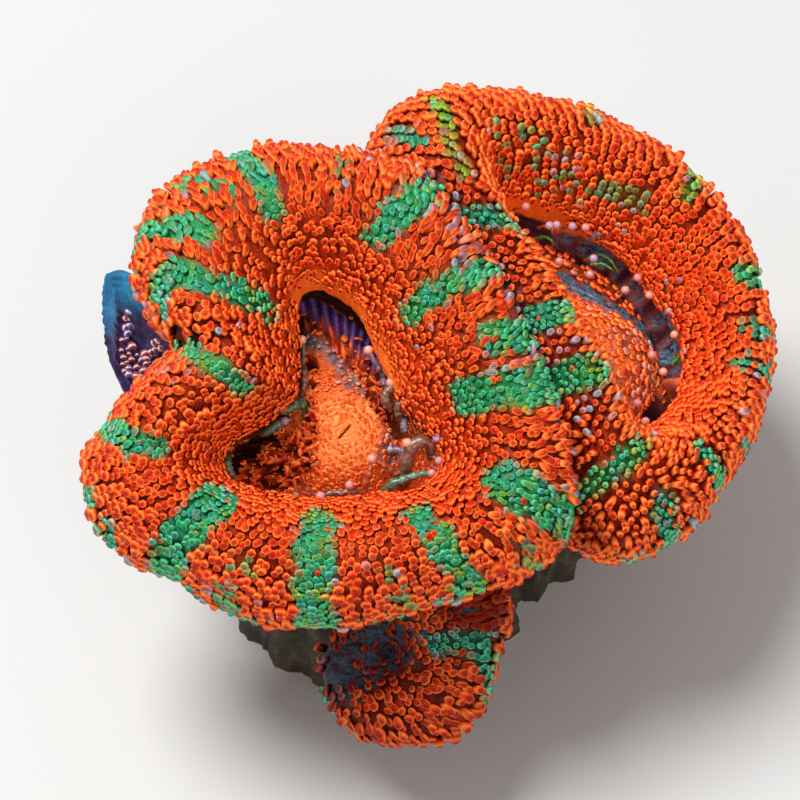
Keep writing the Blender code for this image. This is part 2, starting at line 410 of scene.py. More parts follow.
def shell(name, points, masks, material):
    # a closed skin from rings of points (rings, count, 3), with its ends closed at their middles
    rings, count = points.shape[:2]
    ends = np.array([points[0].mean(axis=0), points[-1].mean(axis=0)])
    corners = np.vstack([points.reshape(-1, 3), ends]) * mm
    mesh = bpy.data.meshes.new(name)
    mesh.from_pydata(corners.tolist(), [], shellFaces(rings, count))
    for key, values in masks.items():
        values = values.reshape(rings, count)
        storeValues(mesh, key, np.append(values.ravel(), [values[0].mean(), values[-1].mean()]))
    mesh.materials.append(material)
    mesh.shade_smooth()
    thing = bpy.data.objects.new(name, mesh)
    bpy.context.scene.collection.objects.link(thing)
    return thing


# The green stripes across the rings, each (from angle, from travel, to angle, to travel, half width,
# hue, fill). Travel is 0 at the pit's lip and 1 under the ring; hue is teal at 0, green at 0.5 and
# yellow-green at 1; fill is how solid the stripe is.
frontStripes = (
    (111, 0.58, 109, 0.30, 0.75, 0.40, 1.0), (124, 0.53, 117, 0.41, 0.60, 0.50, 0.6),
    (139, 0.58, 128, 0.38, 0.90, 0.35, 1.0), (145, 0.49, 136, 0.35, 0.65, 0.45, 0.9),
    (148, 0.50, 126, 0.17, 0.85, 0.35, 1.0), (154, 0.56, 165, 0.18, 0.60, 0.45, 1.0),
    (179, 0.60, 190, 0.30, 0.75, 0.35, 1.0), (195, 0.64, 196, 0.52, 0.70, 0.25, 0.9),
    (205, 0.66, 205, 0.52, 0.85, 0.30, 0.8), (214, 0.18, 221, 0.68, 1.15, 0.35, 1.0),
    (257, 0.18, 263, 0.66, 1.10, 0.48, 1.0), (306, 0.22, 309, 0.62, 0.85, 0.50, 1.0),
    (336, 0.28, 337, 0.62, 1.15, 0.35, 1.0), (8, 0.22, 11, 0.50, 1.20, 0.45, 1.0),
    (26, 0.36, 24, 0.56, 1.00, 0.40, 0.9), (57, 0.20, 45, 0.44, 0.75, 0.45, 1.0),
    (79, 0.28, 67, 0.52, 0.95, 0.40, 1.0), (91, 0.50, 92, 0.36, 0.50, 0.65, 0.5),
    (232, 0.40, 241, 0.40, 0.45, 0.70, 0.4), (285, 0.31, 285, 0.42, 0.45, 0.65, 0.4),
    (288, 0.46, 289, 0.54, 0.55, 0.60, 0.45), (323, 0.47, 324, 0.57, 0.60, 0.45, 0.5),
    (236, 0.50, 238, 0.60, 0.75, 0.55, 0.7), (62, 0.46, 60, 0.54, 0.60, 0.20, 0.7),
    (100, 0.64, 104, 0.86, 0.90, 0.40, 0.9), (128, 0.66, 126, 0.88, 0.80, 0.35, 0.8),
    (160, 0.66, 163, 0.88, 0.70, 0.45, 0.8), (246, 0.70, 244, 0.86, 0.70, 0.50, 0.6),
    (292, 0.68, 294, 0.84, 0.80, 0.40, 0.6),
)
rearStripes = (
    (160, 0.27, 163, 0.48, 0.62, 0.22, 1.0), (146, 0.53, 149, 0.45, 0.50, 0.10, 0.95),
    (137, 0.47, 142, 0.39, 0.46, 0.90, 1.0), (142, 0.39, 149, 0.365, 0.46, 0.95, 1.0),
    (152, 0.35, 153, 0.345, 0.42, 0.90, 1.0), (133, 0.26, 129, 0.08, 0.55, 0.75, 0.45),
    (125, 0.24, 119, 0.08, 0.60, 0.75, 0.45), (114, 0.18, 108, 0.08, 0.55, 0.70, 0.45),
    (101, 0.13, 82, 0.15, 0.80, 0.75, 0.55), (104, 0.48, 106, 0.32, 0.50, 0.95, 0.5),
    (71, 0.50, 71, 0.28, 0.60, 0.95, 0.85), (34, 0.30, 31, 0.48, 0.80, 0.40, 1.0),
    (9, 0.25, 8, 0.42, 0.55, 0.10, 0.7), (352, 0.26, 353, 0.42, 0.65, 0.10, 0.7),
    (295, 0.32, 312, 0.64, 0.70, 0.40, 1.0), (276, 0.44, 293, 0.66, 0.70, 0.25, 0.9),
    (254, 0.60, 264, 0.32, 0.75, 0.45, 1.0), (275, 0.62, 288, 0.72, 0.65, 0.10, 0.7),
    (118, 0.46, 118, 0.54, 0.50, 0.50, 0.4), (321, 0.44, 328, 0.54, 0.60, 0.10, 0.5),
    (222, 0.50, 233, 0.34, 0.95, 0.45, 1.0), (199, 0.48, 196, 0.30, 0.80, 0.35, 1.0),
    (20, 0.58, 17, 0.84, 0.80, 0.40, 0.9), (60, 0.60, 63, 0.84, 0.90, 0.45, 0.9),
    (96, 0.58, 92, 0.84, 0.90, 0.35, 0.9), (128, 0.62, 131, 0.84, 0.80, 0.50, 0.9),
    (345, 0.62, 349, 0.82, 0.70, 0.30, 0.8),
)
budStripes = (
    (12, 0.26, 7, 0.50, 0.70, 0.10, 1.0), (6, 0.50, 341, 0.60, 0.85, 0.15, 1.0),
    (214, 0.55, 236, 0.66, 0.50, 0.10, 0.7),
)


def stripeMasks(polyp, stripes, points):
    # how green each point is, its hue, and how solid its stripe is
    green = np.zeros(len(points))
    hue = np.full(len(points), 0.45)
    fill = np.ones(len(points))
    wander = 0.30 * lumps(points, 1.1, 3.7)
    for startAngle, startTravel, endAngle, endTravel, half, tint, solid in stripes:
        if endAngle - startAngle > 180:
            endAngle -= 360
        steps = np.linspace(0, 1, 14)
        angles = np.radians(startAngle + (endAngle - startAngle) * steps)
        shares = ringShare(startTravel + (endTravel - startTravel) * steps)
        spine = skinPoint(polyp, angles, shares)
        reach = np.linalg.norm(points[:, None, :] - spine[None, :, :], axis=2).min(axis=1)
        mask = smooth(reach + wander, half + 0.12, half - 0.22)
        hue = np.where(mask > green, tint, hue)
        fill = np.where(mask > green, solid, fill)
        green = np.maximum(green, mask)
    return green, hue, fill


# Each ramp runs from painted shade at 0, through the flesh's own colour, to a painted highlight near 0.7
# and a deeper tip at 1.
orangeTones = (
    (0.00, 34, 1, 0), (0.40, 112, 9, 0), (0.55, 228, 74, 16),
    (0.70, 255, 144, 62), (0.82, 236, 76, 14), (0.92, 200, 42, 5), (1.00, 182, 32, 4),
)
greenTones = (
    (0.00, 2, 30, 18), (0.40, 10, 90, 48), (0.55, 48, 164, 92),
    (0.70, 98, 202, 148), (0.84, 44, 166, 100), (1.00, 18, 134, 78),
)
tealTones = (
    (0.00, 4, 30, 36), (0.40, 10, 80, 82), (0.55, 38, 150, 130),
    (0.70, 116, 206, 178), (0.84, 36, 160, 130), (1.00, 12, 122, 104),
)
oliveTones = (
    (0.00, 22, 28, 3), (0.40, 72, 78, 10), (0.55, 122, 148, 34),
    (0.70, 178, 206, 70), (0.84, 130, 164, 40), (1.00, 94, 132, 26),
)
greyTones = (
    (0.00, 34, 20, 26), (0.40, 88, 54, 60), (0.56, 150, 112, 118),
    (0.72, 212, 160, 160), (1.00, 146, 96, 98),
)
blueTones = (
    (0.00, 12, 20, 34), (0.40, 30, 56, 78), (0.56, 74, 118, 140),
    (0.72, 150, 186, 200), (1.00, 66, 110, 134),
)


def livingColour(start, level):
    # orange, green, teal, olive or grey flesh, by the masks on the mesh; the level runs each ramp from
    # painted shade to painted highlight
    green = shaderAttribute(start, "green")
    hue = shaderAttribute(start, "hue")
    colour = ramp(level, *orangeTones)
    leafy = blend(clamp(1 - hue * 2.5), ramp(level, *greenTones), ramp(level, *tealTones))
    leafy = blend(clamp(hue * 2.5 - 1.25), leafy, ramp(level, *oliveTones))
    tint = shaderAttribute(start, "tint")
    dull = blend(clamp(tint * 3 - 1), ramp(level, *blueTones), ramp(level, *greyTones))
    colour = blend(shaderAttribute(start, "grey"), colour, dull)
    return blend(green, colour, leafy)


def makeKnobMaterial():
    material, shader, start, place = newMaterial("swollen knobs", 0.42, 0.12, 0.22)
    shader.inputs["Specular IOR Level"].default_value = 0.14
    shader.inputs["Emission Strength"].default_value = 0.38
    # painted light and shade: a knob's level follows how each part of it faces along the skin, so its
    # underside is painted dark, its flanks carry a painted highlight and its tip is deeper
    crown = shaderAttribute(start, "crown")
    tint = shaderAttribute(start, "tint")
    level = clamp(crown * 0.5 + 0.5 + (tint - 0.5) * 0.10)
    colour = livingColour(start, level)
    # painted highlight: knobs that carry glow take a brighter ramp, with a stronger painted highlight on
    # their flanks
    brightTones = ((0.0, 130, 26, 4), (0.45, 240, 96, 34), (0.68, 255, 178, 108),
                   (0.82, 252, 116, 46), (1.0, 236, 84, 26))
    colour = blend(shaderAttribute(start, "glow"), colour, ramp(level, *brightTones))
    redder = blend(clamp(tint * 1.6 - 1.0) * 0.6, colour, tone(226, 60, 16), "MULTIPLY")
    # painted shade: each knob is darkened towards its foot, where it meets the skin and its neighbours
    foot = 1 - clamp(shaderAttribute(start, "rise") * 2.4)
    colour = blend(foot * 0.6, redder, tone(80, 10, 2), "MULTIPLY")
    # painted shade: knobs in patches of painted shade are darkened and reddened; dusty green knobs are
    # dulled by the same mark
    colour = blend(shaderAttribute(start, "dusk") * 0.9, colour, tone(124, 48, 48), "MULTIPLY")
    speckle = grain(place, 0.09, 2.0)
    colour = blend(clamp(speckle * 2.4 - 1.1) * 0.2, colour, tone(255, 180, 110), "SOFT_LIGHT")
    # painted light: the thin sides of a knob glow by emission, a painted highlight for light through their
    # edges; its tip and foot do not
    limbHighlight = clamp(1 - (crown - 0.35) * (crown - 0.35) * 5) * (1 - foot)
    glow = blend(limbHighlight, tone(0, 0, 0), colour)
    start.tree.links.new(glow.socket, shader.inputs["Emission Color"])
    finishShader(start, shader, colour, speckle, 0.2)
    return material


print("materials of the knobs")
knobMaterial = makeKnobMaterial()


# Against travel over the ring, from the pit's lip to the underside: diameter, length, spacing
# and the lean away from the pit in degrees, for four kinds of knob.
knobTravel = (-0.2, 0.0, 0.08, 0.18, 0.30, 0.45, 0.60, 0.74, 0.86, 1.0)
fingers = {
    "girth": (0.26, 0.28, 0.33, 0.37, 0.40, 0.43, 0.46, 0.48, 0.46, 0.42),
    "length": (0.16, 0.22, 0.36, 0.58, 0.82, 0.94, 0.96, 0.88, 0.60, 0.30),
    "gap": (0.33, 0.33, 0.36, 0.39, 0.42, 0.45, 0.49, 0.58, 0.70, 0.84),
    "lean": (0, 4, 14, 30, 42, 44, 34, 10, -8, -10),
}
balls = {
    "girth": (0.27, 0.30, 0.35, 0.41, 0.48, 0.54, 0.67, 0.80, 0.66, 0.44),
    "length": (0.18, 0.26, 0.36, 0.46, 0.54, 0.60, 0.75, 0.82, 0.56, 0.32),
    "gap": (0.31, 0.31, 0.33, 0.355, 0.385, 0.43, 0.55, 0.70, 0.76, 0.86),
    "lean": (0, 0, 4, 8, 10, 8, 0, -12, -16, -10),
}
beads = {
    "girth": (0.34, 0.41, 0.47, 0.52, 0.55, 0.57, 0.60, 0.62, 0.56, 0.48),
    "length": (0.30, 0.46, 0.60, 0.70, 0.76, 0.80, 0.78, 0.68, 0.54, 0.34),
    "gap": (0.36, 0.39, 0.44, 0.49, 0.53, 0.57, 0.63, 0.72, 0.84, 1.00),
    "lean": (0, 4, 10, 16, 22, 24, 18, 4, -8, -10),
}
rimFingers = {
    "girth": (0.26, 0.30, 0.33, 0.36, 0.38, 0.40, 0.43, 0.46, 0.44, 0.42),
    "length": (0.20, 0.36, 0.54, 0.74, 0.84, 0.86, 0.82, 0.70, 0.52, 0.30),
    "gap": (0.34, 0.34, 0.36, 0.40, 0.43, 0.45, 0.47, 0.54, 0.70, 0.88),
    "lean": (0, -8, -18, -32, -30, -6, 14, 8, -8, -10),
}


def planAt(column, angles, travel, look):
    # blends the look's two kinds of knob by the angle round the polyp
    share = np.interp(np.degrees(angles), look["zoneAngles"], look["zoneShares"], period=360)
    first, second = (np.interp(travel, knobTravel, kind[column]) for kind in look["kinds"])
    return first * share + second * (1 - share)


def patchChance(polyp, patches, points):
    # the chance at each point, from round patches on the ring
    chance = np.zeros(len(points))
    for angle, travel, radius, strength in patches:
        centre = skinPoint(polyp, np.radians([angle]), np.array([ringShare(travel)]))
        reach = np.linalg.norm(points - centre, axis=1)
        chance = np.maximum(chance, strength * smooth(reach, radius, 0.4 * radius))
    return chance


def knobTree():
    # instances one rounded knob on every point, leaning as the point says
    inputs = {"Segments": "Int", "Rings": "Int", "Girth": "Float", "Length": "Float",
              "Sink": "Float", "Flatness": "Float", "Variation": "Float", "Warp": "Float",
              "Warp scale": "Float", "Seed": "Int", "Material": "Material"}
    tree, given = newTree("knob rows", inputs)
    start = given["Geometry"]
    ball = start.node("GeometryNodeMeshUVSphere", None,
                      {"Segments": given["Segments"], "Rings": given["Rings"], "Radius": 1.0})
    place = start.node("GeometryNodeInputPosition")
    split = {key: place.node("ShaderNodeSeparateXYZ", None, {0: place}, key) for key in "XYZ"}
    rise = split["Z"] * 0.5 + 0.5
    # plumper than an ellipsoid, and a little wider at its tip
    reach = clamp(1 - split["Z"] * split["Z"], 0.02)
    widen = (reach ** -0.14) * given["Girth"] * 0.5 * (rise * 0.30 + 0.78)
    shaped = {"X": split["X"] * widen, "Y": split["Y"] * widen,
              "Z": rise * given["Length"] - given["Sink"] * given["Length"]}
    store = {"data_type": "FLOAT", "domain": "POINT"}
    ball = start.node("GeometryNodeStoreNamedAttribute", store,
                      {"Geometry": ball, "Name": "rise", "Value": rise})
    shape = start.node("GeometryNodeSetPosition", None,
                       {"Geometry": ball, "Position": start.node("ShaderNodeCombineXYZ", None, shaped)})
    upright = start.node("FunctionNodeAlignRotationToVector", {"axis": "Z"},
                         {"Vector": named(start, "lean", "FLOAT_VECTOR")})
    spin = start.node("FunctionNodeRandomValue", {"data_type": "FLOAT"},
                      {2: 0.0, 3: turn, "Seed": given["Seed"]}, 1)
    spin = start.node("FunctionNodeEulerToRotation", None,
                      {0: start.node("ShaderNodeCombineXYZ", None, {"Z": spin})})
    rotation = start.node("FunctionNodeRotateRotation", {"rotation_space": "LOCAL"},
                          {0: upright, 1: spin})
    limits = {2: 1 - given["Variation"], 3: 1 + given["Variation"], "Seed": given["Seed"] + 7}
    vary = start.node("FunctionNodeRandomValue", {"data_type": "FLOAT"}, limits, 1)
    wide = named(start, "wide") * vary
    tall = named(start, "tall") * vary
    scale = start.node("ShaderNodeCombineXYZ", None, {"X": wide * given["Flatness"], "Y": wide, "Z": tall})
    field = start.node("GeometryNodeInstanceOnPoints", None,
                       {"Points": start, "Instance": shape, "Rotation": rotation, "Scale": scale})
    field = start.node("GeometryNodeRealizeInstances", None, {"Geometry": field})
    # no two knobs are alike: a soft warp bends and dents them
    sockets = {"Scale": given["Warp scale"], "Detail": 1.0}
    warp = start.node("ShaderNodeTexNoise", None, sockets, "Color")
    warp = start.node("ShaderNodeVectorMath", {"operation": "SUBTRACT"}, {0: warp, 1: (0.5, 0.5, 0.5)})
    warp = start.node("ShaderNodeVectorMath", {"operation": "SCALE"}, {0: warp, "Scale": given["Warp"]})
    field = start.node("GeometryNodeSetPosition", None, {"Geometry": field, "Offset": warp})
    # how each part of a knob faces along the skin, which the materials turn into painted highlight and
    # shade
    ways = {0: start.node("GeometryNodeInputNormal"), 1: named(start, "skinWay", "FLOAT_VECTOR")}
    facing = start.node("ShaderNodeVectorMath", {"operation": "DOT_PRODUCT"}, ways, 1)
    field = start.node("GeometryNodeStoreNamedAttribute", store,
                       {"Geometry": field, "Name": "crown", "Value": facing})
    endTree(tree, field, given["Material"])
    return tree


knobNodes = knobTree()


def plantRows(polyp, stripes, look):
    # rows of knobs run out from the pit, with half rows between them where there is room; a knob
    # is left out where it would crowd its neighbours, and they stand closer where they are green
    random = np.random.default_rng(look["seed"])
    fine = np.linspace(0, turn, 721)
    contour = skinPoint(polyp, fine, np.full(len(fine), ringShare(look["evenAt"])))
    length = np.append(0, np.cumsum(np.linalg.norm(np.diff(contour, axis=0), axis=1)))
    rows = int(length[-1] / look["rowGap"])
    travel = np.arange(look["from"], look["to"], look["step"])
    order = travel[np.argsort(np.abs(travel - look["evenAt"]), kind="stable")]
    rowCounts = np.concatenate([np.arange(rows) + part for part in (0, 0.5, 0.25, 0.75)])
    rowAngles = np.interp(rowCounts * length[-1] / rows, length, fine)
    angles = np.concatenate([np.tile(part, len(order)) for part in np.split(rowAngles, 4)])
    rowNames = np.concatenate([np.tile(part, len(order)) for part in np.split(rowCounts, 4)])
    places = np.concatenate([np.repeat(order, rows)] * 4)
    inRows = 1 - np.interp(np.degrees(angles), look["zoneAngles"], look["zoneShares"], period=360)
    ringByRing = inRows < look["ringByRing"]
    turnToPlant = np.abs(places - look["evenAt"]) + np.where(ringByRing, 0, 10 * (rowNames % 1))
    turnToPlant[~ringByRing & (rowNames * 2 % 1 > 0)] = np.inf
    planted = np.argsort(turnToPlant, kind="stable")[:np.isfinite(turnToPlant).sum()]
    angles, rowNames, places = angles[planted], rowNames[planted], places[planted]
    points = skinPoint(polyp, angles, ringShare(places))
    radius = np.linalg.norm(points - np.array(polyp["mouth"]), axis=1) + 1
    angles = angles + lumps(points, 2.4, look["seed"]) * look["sway"] / radius
    points = skinPoint(polyp, angles, ringShare(places))
    uneven = look["packed"] * (1 + look["uneven"] * lumps(points, 0.9, look["seed"] + 4))
    green, _, fill = stripeMasks(polyp, stripes, points)
    uneven = uneven * (1 - look["greenFiner"] * green * smooth(fill, 0.5, 0.9))
    gaps = planAt("gap", angles, places, look) * uneven
    inRows = 1 - np.interp(np.degrees(angles), look["zoneAngles"], look["zoneShares"], period=360)
    kept = keepApart(points, gaps, rowNames, gaps * (1 - (1 - look["alongRow"]) * inRows))
    count = len(kept)
    angles = angles[kept] + random.normal(0, look["jitter"], count) / radius[kept]
    places = places[kept] + random.normal(0, look["jitter"] * 0.05, count)
    return angles, np.minimum(places, 0.99)


def keepApart(points, gaps, rowNames=None, rowGaps=None):
    # the points, in order, that stand at least their gap from every point kept before, and at
    # least their row gap from those of their own row
    cell = 0.7
    homes = {}
    kept = []
    for index, (point, gap) in enumerate(zip(points, gaps)):
        home = tuple(np.floor(point / cell).astype(int))
        crowded = False
        for x in (-1, 0, 1):
            for y in (-1, 0, 1):
                for z in (-1, 0, 1):
                    for other in homes.get((home[0] + x, home[1] + y, home[2] + z), ()):
                        way = points[other] - point
                        near = gap
                        if rowNames is not None and rowNames[other] == rowNames[index]:
                            near = rowGaps[index]
                        if way[0] ** 2 + way[1] ** 2 + way[2] ** 2 < near**2:
                            crowded = True
        if not crowded:
            homes.setdefault(home, []).append(index)
            kept.append(index)
    return np.array(kept)


def growKnobs(name, polyp, stripes, look):
    # two pieces: the knobs near the pit, and those further out
    print("knobs of", name)
    angles, places = plantRows(polyp, stripes, look)
    points, outward, aside, normal = skinFrame(polyp, angles, ringShare(places))
    count = len(points)
    random = np.random.default_rng(look["seed"] + 1)
    lean = np.radians(planAt("lean", angles, places, look) + random.normal(0, look["unrest"], count))
    twist = random.normal(0, look["twist"], count)
    way = normal * np.cos(lean)[:, None] + outward * np.sin(lean)[:, None] + aside * twist[:, None]
    way = unit(way + look["sweep"])
    uneven = 1 + look["uneven"] * lumps(points, 0.9, look["seed"] + 4)
    girth = planAt("girth", angles, places, look) * look["girth"] * uneven
    length = planAt("length", angles, places, look) * look["length"] * uneven
    length *= random.uniform(0.75, 1.2, count)
    clear = random.random(count) >= patchChance(polyp, look["bare"], points)
    for startAngle, width, _, end in look["smoothLip"]:
        beside = (np.degrees(angles) - startAngle) % 360 < width
        clear &= ~(beside & (places < end + 0.015 * lumps(points, 0.8, 5.5)))
    green, hue, fill = stripeMasks(polyp, stripes, points)
    finer = 1 - look["greenFiner"] * green * smooth(fill, 0.5, 0.9)
    girth *= finer
    length *= finer**2
    green = green * (random.random(count) < fill * 0.97 + 0.01)
    # small green knobs between swollen orange ones, along the hanging edge
    frill = random.random(count) < patchChance(polyp, look["frill"], points)
    green = np.maximum(green, frill)
    girth = girth * np.where(frill, 0.85, 1.0)
    edge = smooth(green, 0.02, 0.3) * smooth(green, 0.98, 0.6)
    chance = look["greyChance"] + 0.25 * edge + patchChance(polyp, look["greys"], points)
    if polyp["seamSide"]:
        room, away = seamRoom(points + way * length[:, None] * 0.8, polyp["seamSide"])
        clear &= room[:, 0] > -0.25
        way = unit(way + away * smooth(room[:, 0], 0.5, -0.1)[:, None] * 0.6)
        chance += 0.45 * smooth(seamRoom(points, polyp["seamSide"])[0][:, 0], 1.1, 0.2)
    grey = (random.random(count) < chance) * random.uniform(0.4, 1, count) * (green < 0.5)
    dusty = (green > 0.5) & (fill < 0.6)
    green = np.where(dusty, 0.78, green)
    grey = np.where(dusty, 0.5, grey)
    # some green knobs wear a dull bluish skin
    dull = smooth(lumps(points, 0.32, 8.8), 0.35, 0.75) * smooth(green, 0.5, 0.9)
    green = green * (1 - 0.34 * dull)
    grey = np.maximum(grey, 0.85 * dull)
    # painted shade from the shade patches, less on green knobs; dusty green knobs are dulled instead
    dusk = np.where(dusty, 0.22, patchChance(polyp, look["dusk"], points) * (1 - 0.7 * green))
    masks = {
        "lean": way, "skinWay": normal, "wide": girth, "tall": length, "green": green,
        "hue": hue + random.normal(0, 0.16, count) + 0.26 * lumps(points, 1.1, 6.6),
        "grey": grey, "tint": random.random(count), "dusk": dusk,
    }
    inner = places < look["splitAt"]
    for part, chosen in (("inner", clear & inner), ("outer", clear & ~inner)):
        if not chosen.any():
            continue
        chosenMasks = {key: values[chosen] for key, values in masks.items()}
        seeds = pointMesh(name, points[chosen], [], chosenMasks)
        values = {"Segments": look["segments"], "Rings": look["rings"], "Girth": mm, "Length": mm,
                  "Sink": 0.16, "Flatness": 1.0, "Variation": look["variation"], "Warp": 0.34 * mm,
                  "Warp scale": 0.9 / mm, "Seed": look["seed"], "Material": knobMaterial}
        knobs = grow(name + "_" + part, seeds, knobNodes, values)
        print("   ", part, chosen.sum(), "knobs")
        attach(knobs, "root")


# Patches are (angle, travel, radius, chance); a smooth stretch of lip is (from angle, width in
# degrees, from travel, to travel). Patches of painted shade darken the knobs where the polyp
# lies in shadow.
knobLook = {
    "kinds": (fingers, balls), "zoneAngles": (0, 130, 156, 300, 330), "zoneShares": (1, 1, 0.1, 0, 0.8),
    "rowGap": 0.60, "evenAt": 0.42, "from": 0.0, "to": 0.97, "step": 0.006, "sway": 0.45, "alongRow": 1.0,
    "ringByRing": 0.0, "packed": 0.82, "greenFiner": 0.20, "jitter": 0.08, "unrest": 17, "twist": 0.30,
    "sweep": (0, 0, 0), "girth": 1.0, "length": 1.0, "uneven": 0.10, "variation": 0.16, "splitAt": 0.40,
    "segments": 7, "rings": 5, "seed": 11, "smoothLip": ((34, 80, -0.045, 0.055),), "dusk": (),
    "bare": ((152, 0.50, 1.6, 1.0), (153, 0.60, 2.0, 1.0), (152, 0.42, 0.9, 1.0)), "greyChance": 0.006,
    "greys": (
        (148, 0.60, 2.4, 0.45), (162, 0.45, 2.0, 0.35), (205, 0.62, 2.6, 0.35), (52, 0.42, 2.2, 0.45),
        (20, 0.38, 1.8, 0.35), (85, 0.56, 1.8, 0.4), (232, 0.58, 2.2, 0.3), (345, 0.52, 1.6, 0.3),
        (300, 0.60, 1.6, 0.3), (36, 0.50, 1.6, 0.4), (8, 0.56, 1.6, 0.4), (68, 0.42, 1.6, 0.35),
        (28, 0.42, 1.4, 0.35),
    ),
    "frill": (
        (222, 0.68, 3.0, 0.4), (245, 0.68, 3.0, 0.45), (268, 0.68, 3.0, 0.45), (292, 0.66, 3.0, 0.4),
    ),
}
rearKnobLook = {
    **knobLook,
    "kinds": (rimFingers, beads), "zoneAngles": (150, 162, 290, 318), "zoneShares": (0, 1, 0.8, 0),
    "rowGap": 0.66, "from": -0.10, "sway": 0.35, "alongRow": 0.68, "ringByRing": 0.5, "packed": 0.94,
    "jitter": 0.04, "unrest": 11, "twist": 0.15, "uneven": 0.05, "variation": 0.12, "splitAt": 0.36,
    "segments": 6, "rings": 5, "seed": 23,
    "smoothLip": ((330, 75, -0.1, -0.02), (45, 57, -0.1, -0.09), (102, 35, -0.15, -0.005)),
    "bare": (), "frill": (), "dusk": ((260, 0.60, 2.8, 0.6), (247, 0.52, 1.8, 0.5)),
    "greys": (
        (150, 0.55, 2.0, 0.3), (71, 0.35, 1.6, 0.35), (300, 0.55, 2.5, 0.3), (345, 0.45, 2.0, 0.3),
        (202, 0.44, 2.2, 0.45), (222, 0.43, 2.2, 0.4), (243, 0.40, 2.0, 0.35), (116, 0.14, 1.8, 0.3),
        (88, 0.13, 1.8, 0.3),
    ),
}
budKnobLook = {
    **knobLook,
    "kinds": (fingers, fingers), "evenAt": 0.5, "from": -0.5, "to": 0.9, "packed": 1.0, "unrest": 26,
    "sweep": (0.55, 0.0, 0.1), "girth": 1.25, "length": 0.85, "uneven": 0.18, "splitAt": -1.0, "seed": 31,
    "smoothLip": (), "frill": (), "greys": ((150, 0.1, 3.0, 0.3), (205, 0.35, 2.2, 0.4)),
    "bare": ((150, 0.0, 3.4, 0.65), (198, 0.4, 2.6, 0.6)),
    "dusk": ((140, 0.1, 4.2, 1.0), (200, 0.4, 3.2, 0.9), (30, 0.45, 3.4, 1.0), (0, 0.3, 30.0, 0.42)),
}
growKnobs("front_knobs", frontPolyp, frontStripes, knobLook)
growKnobs("rear_knobs", rearPolyp, rearStripes, rearKnobLook)
growKnobs("bud_knobs", budPolyp, budStripes, budKnobLook)


def skinGrid(look):
    # every point's angle and share of the section, and the number of rings
    shares = np.concatenate([
        np.linspace(0, discShare, look["discRings"], endpoint=False),
        np.linspace(discShare, lipShare, look["pitRings"], endpoint=False),
        np.linspace(lipShare, 1, look["outerRings"]),
    ])
    angles = np.arange(look["round"]) * turn / look["round"]
    return np.tile(angles, len(shares)), np.repeat(shares, look["round"]), len(shares)


def pitPlace(polyp, points):
    # places in the pit, right and back of the mouth, seen along the polyp's axis
    right, back, _ = frameOf(polyp["axis"])
    way = points - np.array(polyp["mouth"])
    return way @ right, way @ back


def nearPath(x, y, path, half, soft=0.3):
    # 1 within half of a path across the pit's floor, fading out over soft
    path = np.array(path, float)
    here = np.stack([x, y], axis=1)[:, None, :] - path[:-1]
    way = np.diff(path, axis=0)
    share = np.clip((here * way).sum(axis=2) / (way**2).sum(axis=1), 0, 1)
    reach = np.linalg.norm(here - way * share[:, :, None], axis=2).min(axis=1)
    return smooth(reach, half + soft, half)


# Paths over the floor of the front pit, as places right and back of the mouth.
frontPitPlan = {
    "band": ((-2.6, 7.4), (-1.8, 7.1), (-0.9, 6.5), (-0.1, 5.9), (0.6, 5.1), (1.2, 4.3), (1.8, 3.4)),
    "mist": (
        (-2.0, 5.5), (-1.0, 4.9), (-0.1, 3.8), (0.4, 2.9), (0.7, 1.7), (1.4, 0.5), (1.9, -0.6), (2.3, -1.2),
    ),
    "ruffle": ((-2.2, 6.4), (-0.8, 5.6), (0.0, 4.6), (0.5, 3.8), (1.1, 3.1), (1.6, 2.0), (2.3, 0.8)),
    "gully": ((1.9, 3.3), (2.3, 2.2), (2.7, 0.8), (3.0, -0.1)),
    "cavity": ((-6.2, -1.7), (-5.7, -0.9), (-4.9, -0.4), (-4.1, 0.0)),
    "pleats": ((-1.9, 4.0), (-1.8, 2.8), (-2.0, 1.8), (-1.9, 0.5), (-1.8, -0.7)),
    "hem": ((-4.8, -3.2), (-3.2, -3.6), (-1.8, -3.9), (0.0, -4.0)),
    "fold": (-4.0, -1.5, 2.5, 1.6),  # its centre and its reach, right and back of the mouth
    "domeCentre": (0.0, -0.15),
    "domeRadius": 2.0,
    "coil": 0.25,
    "stripes": 80,
}


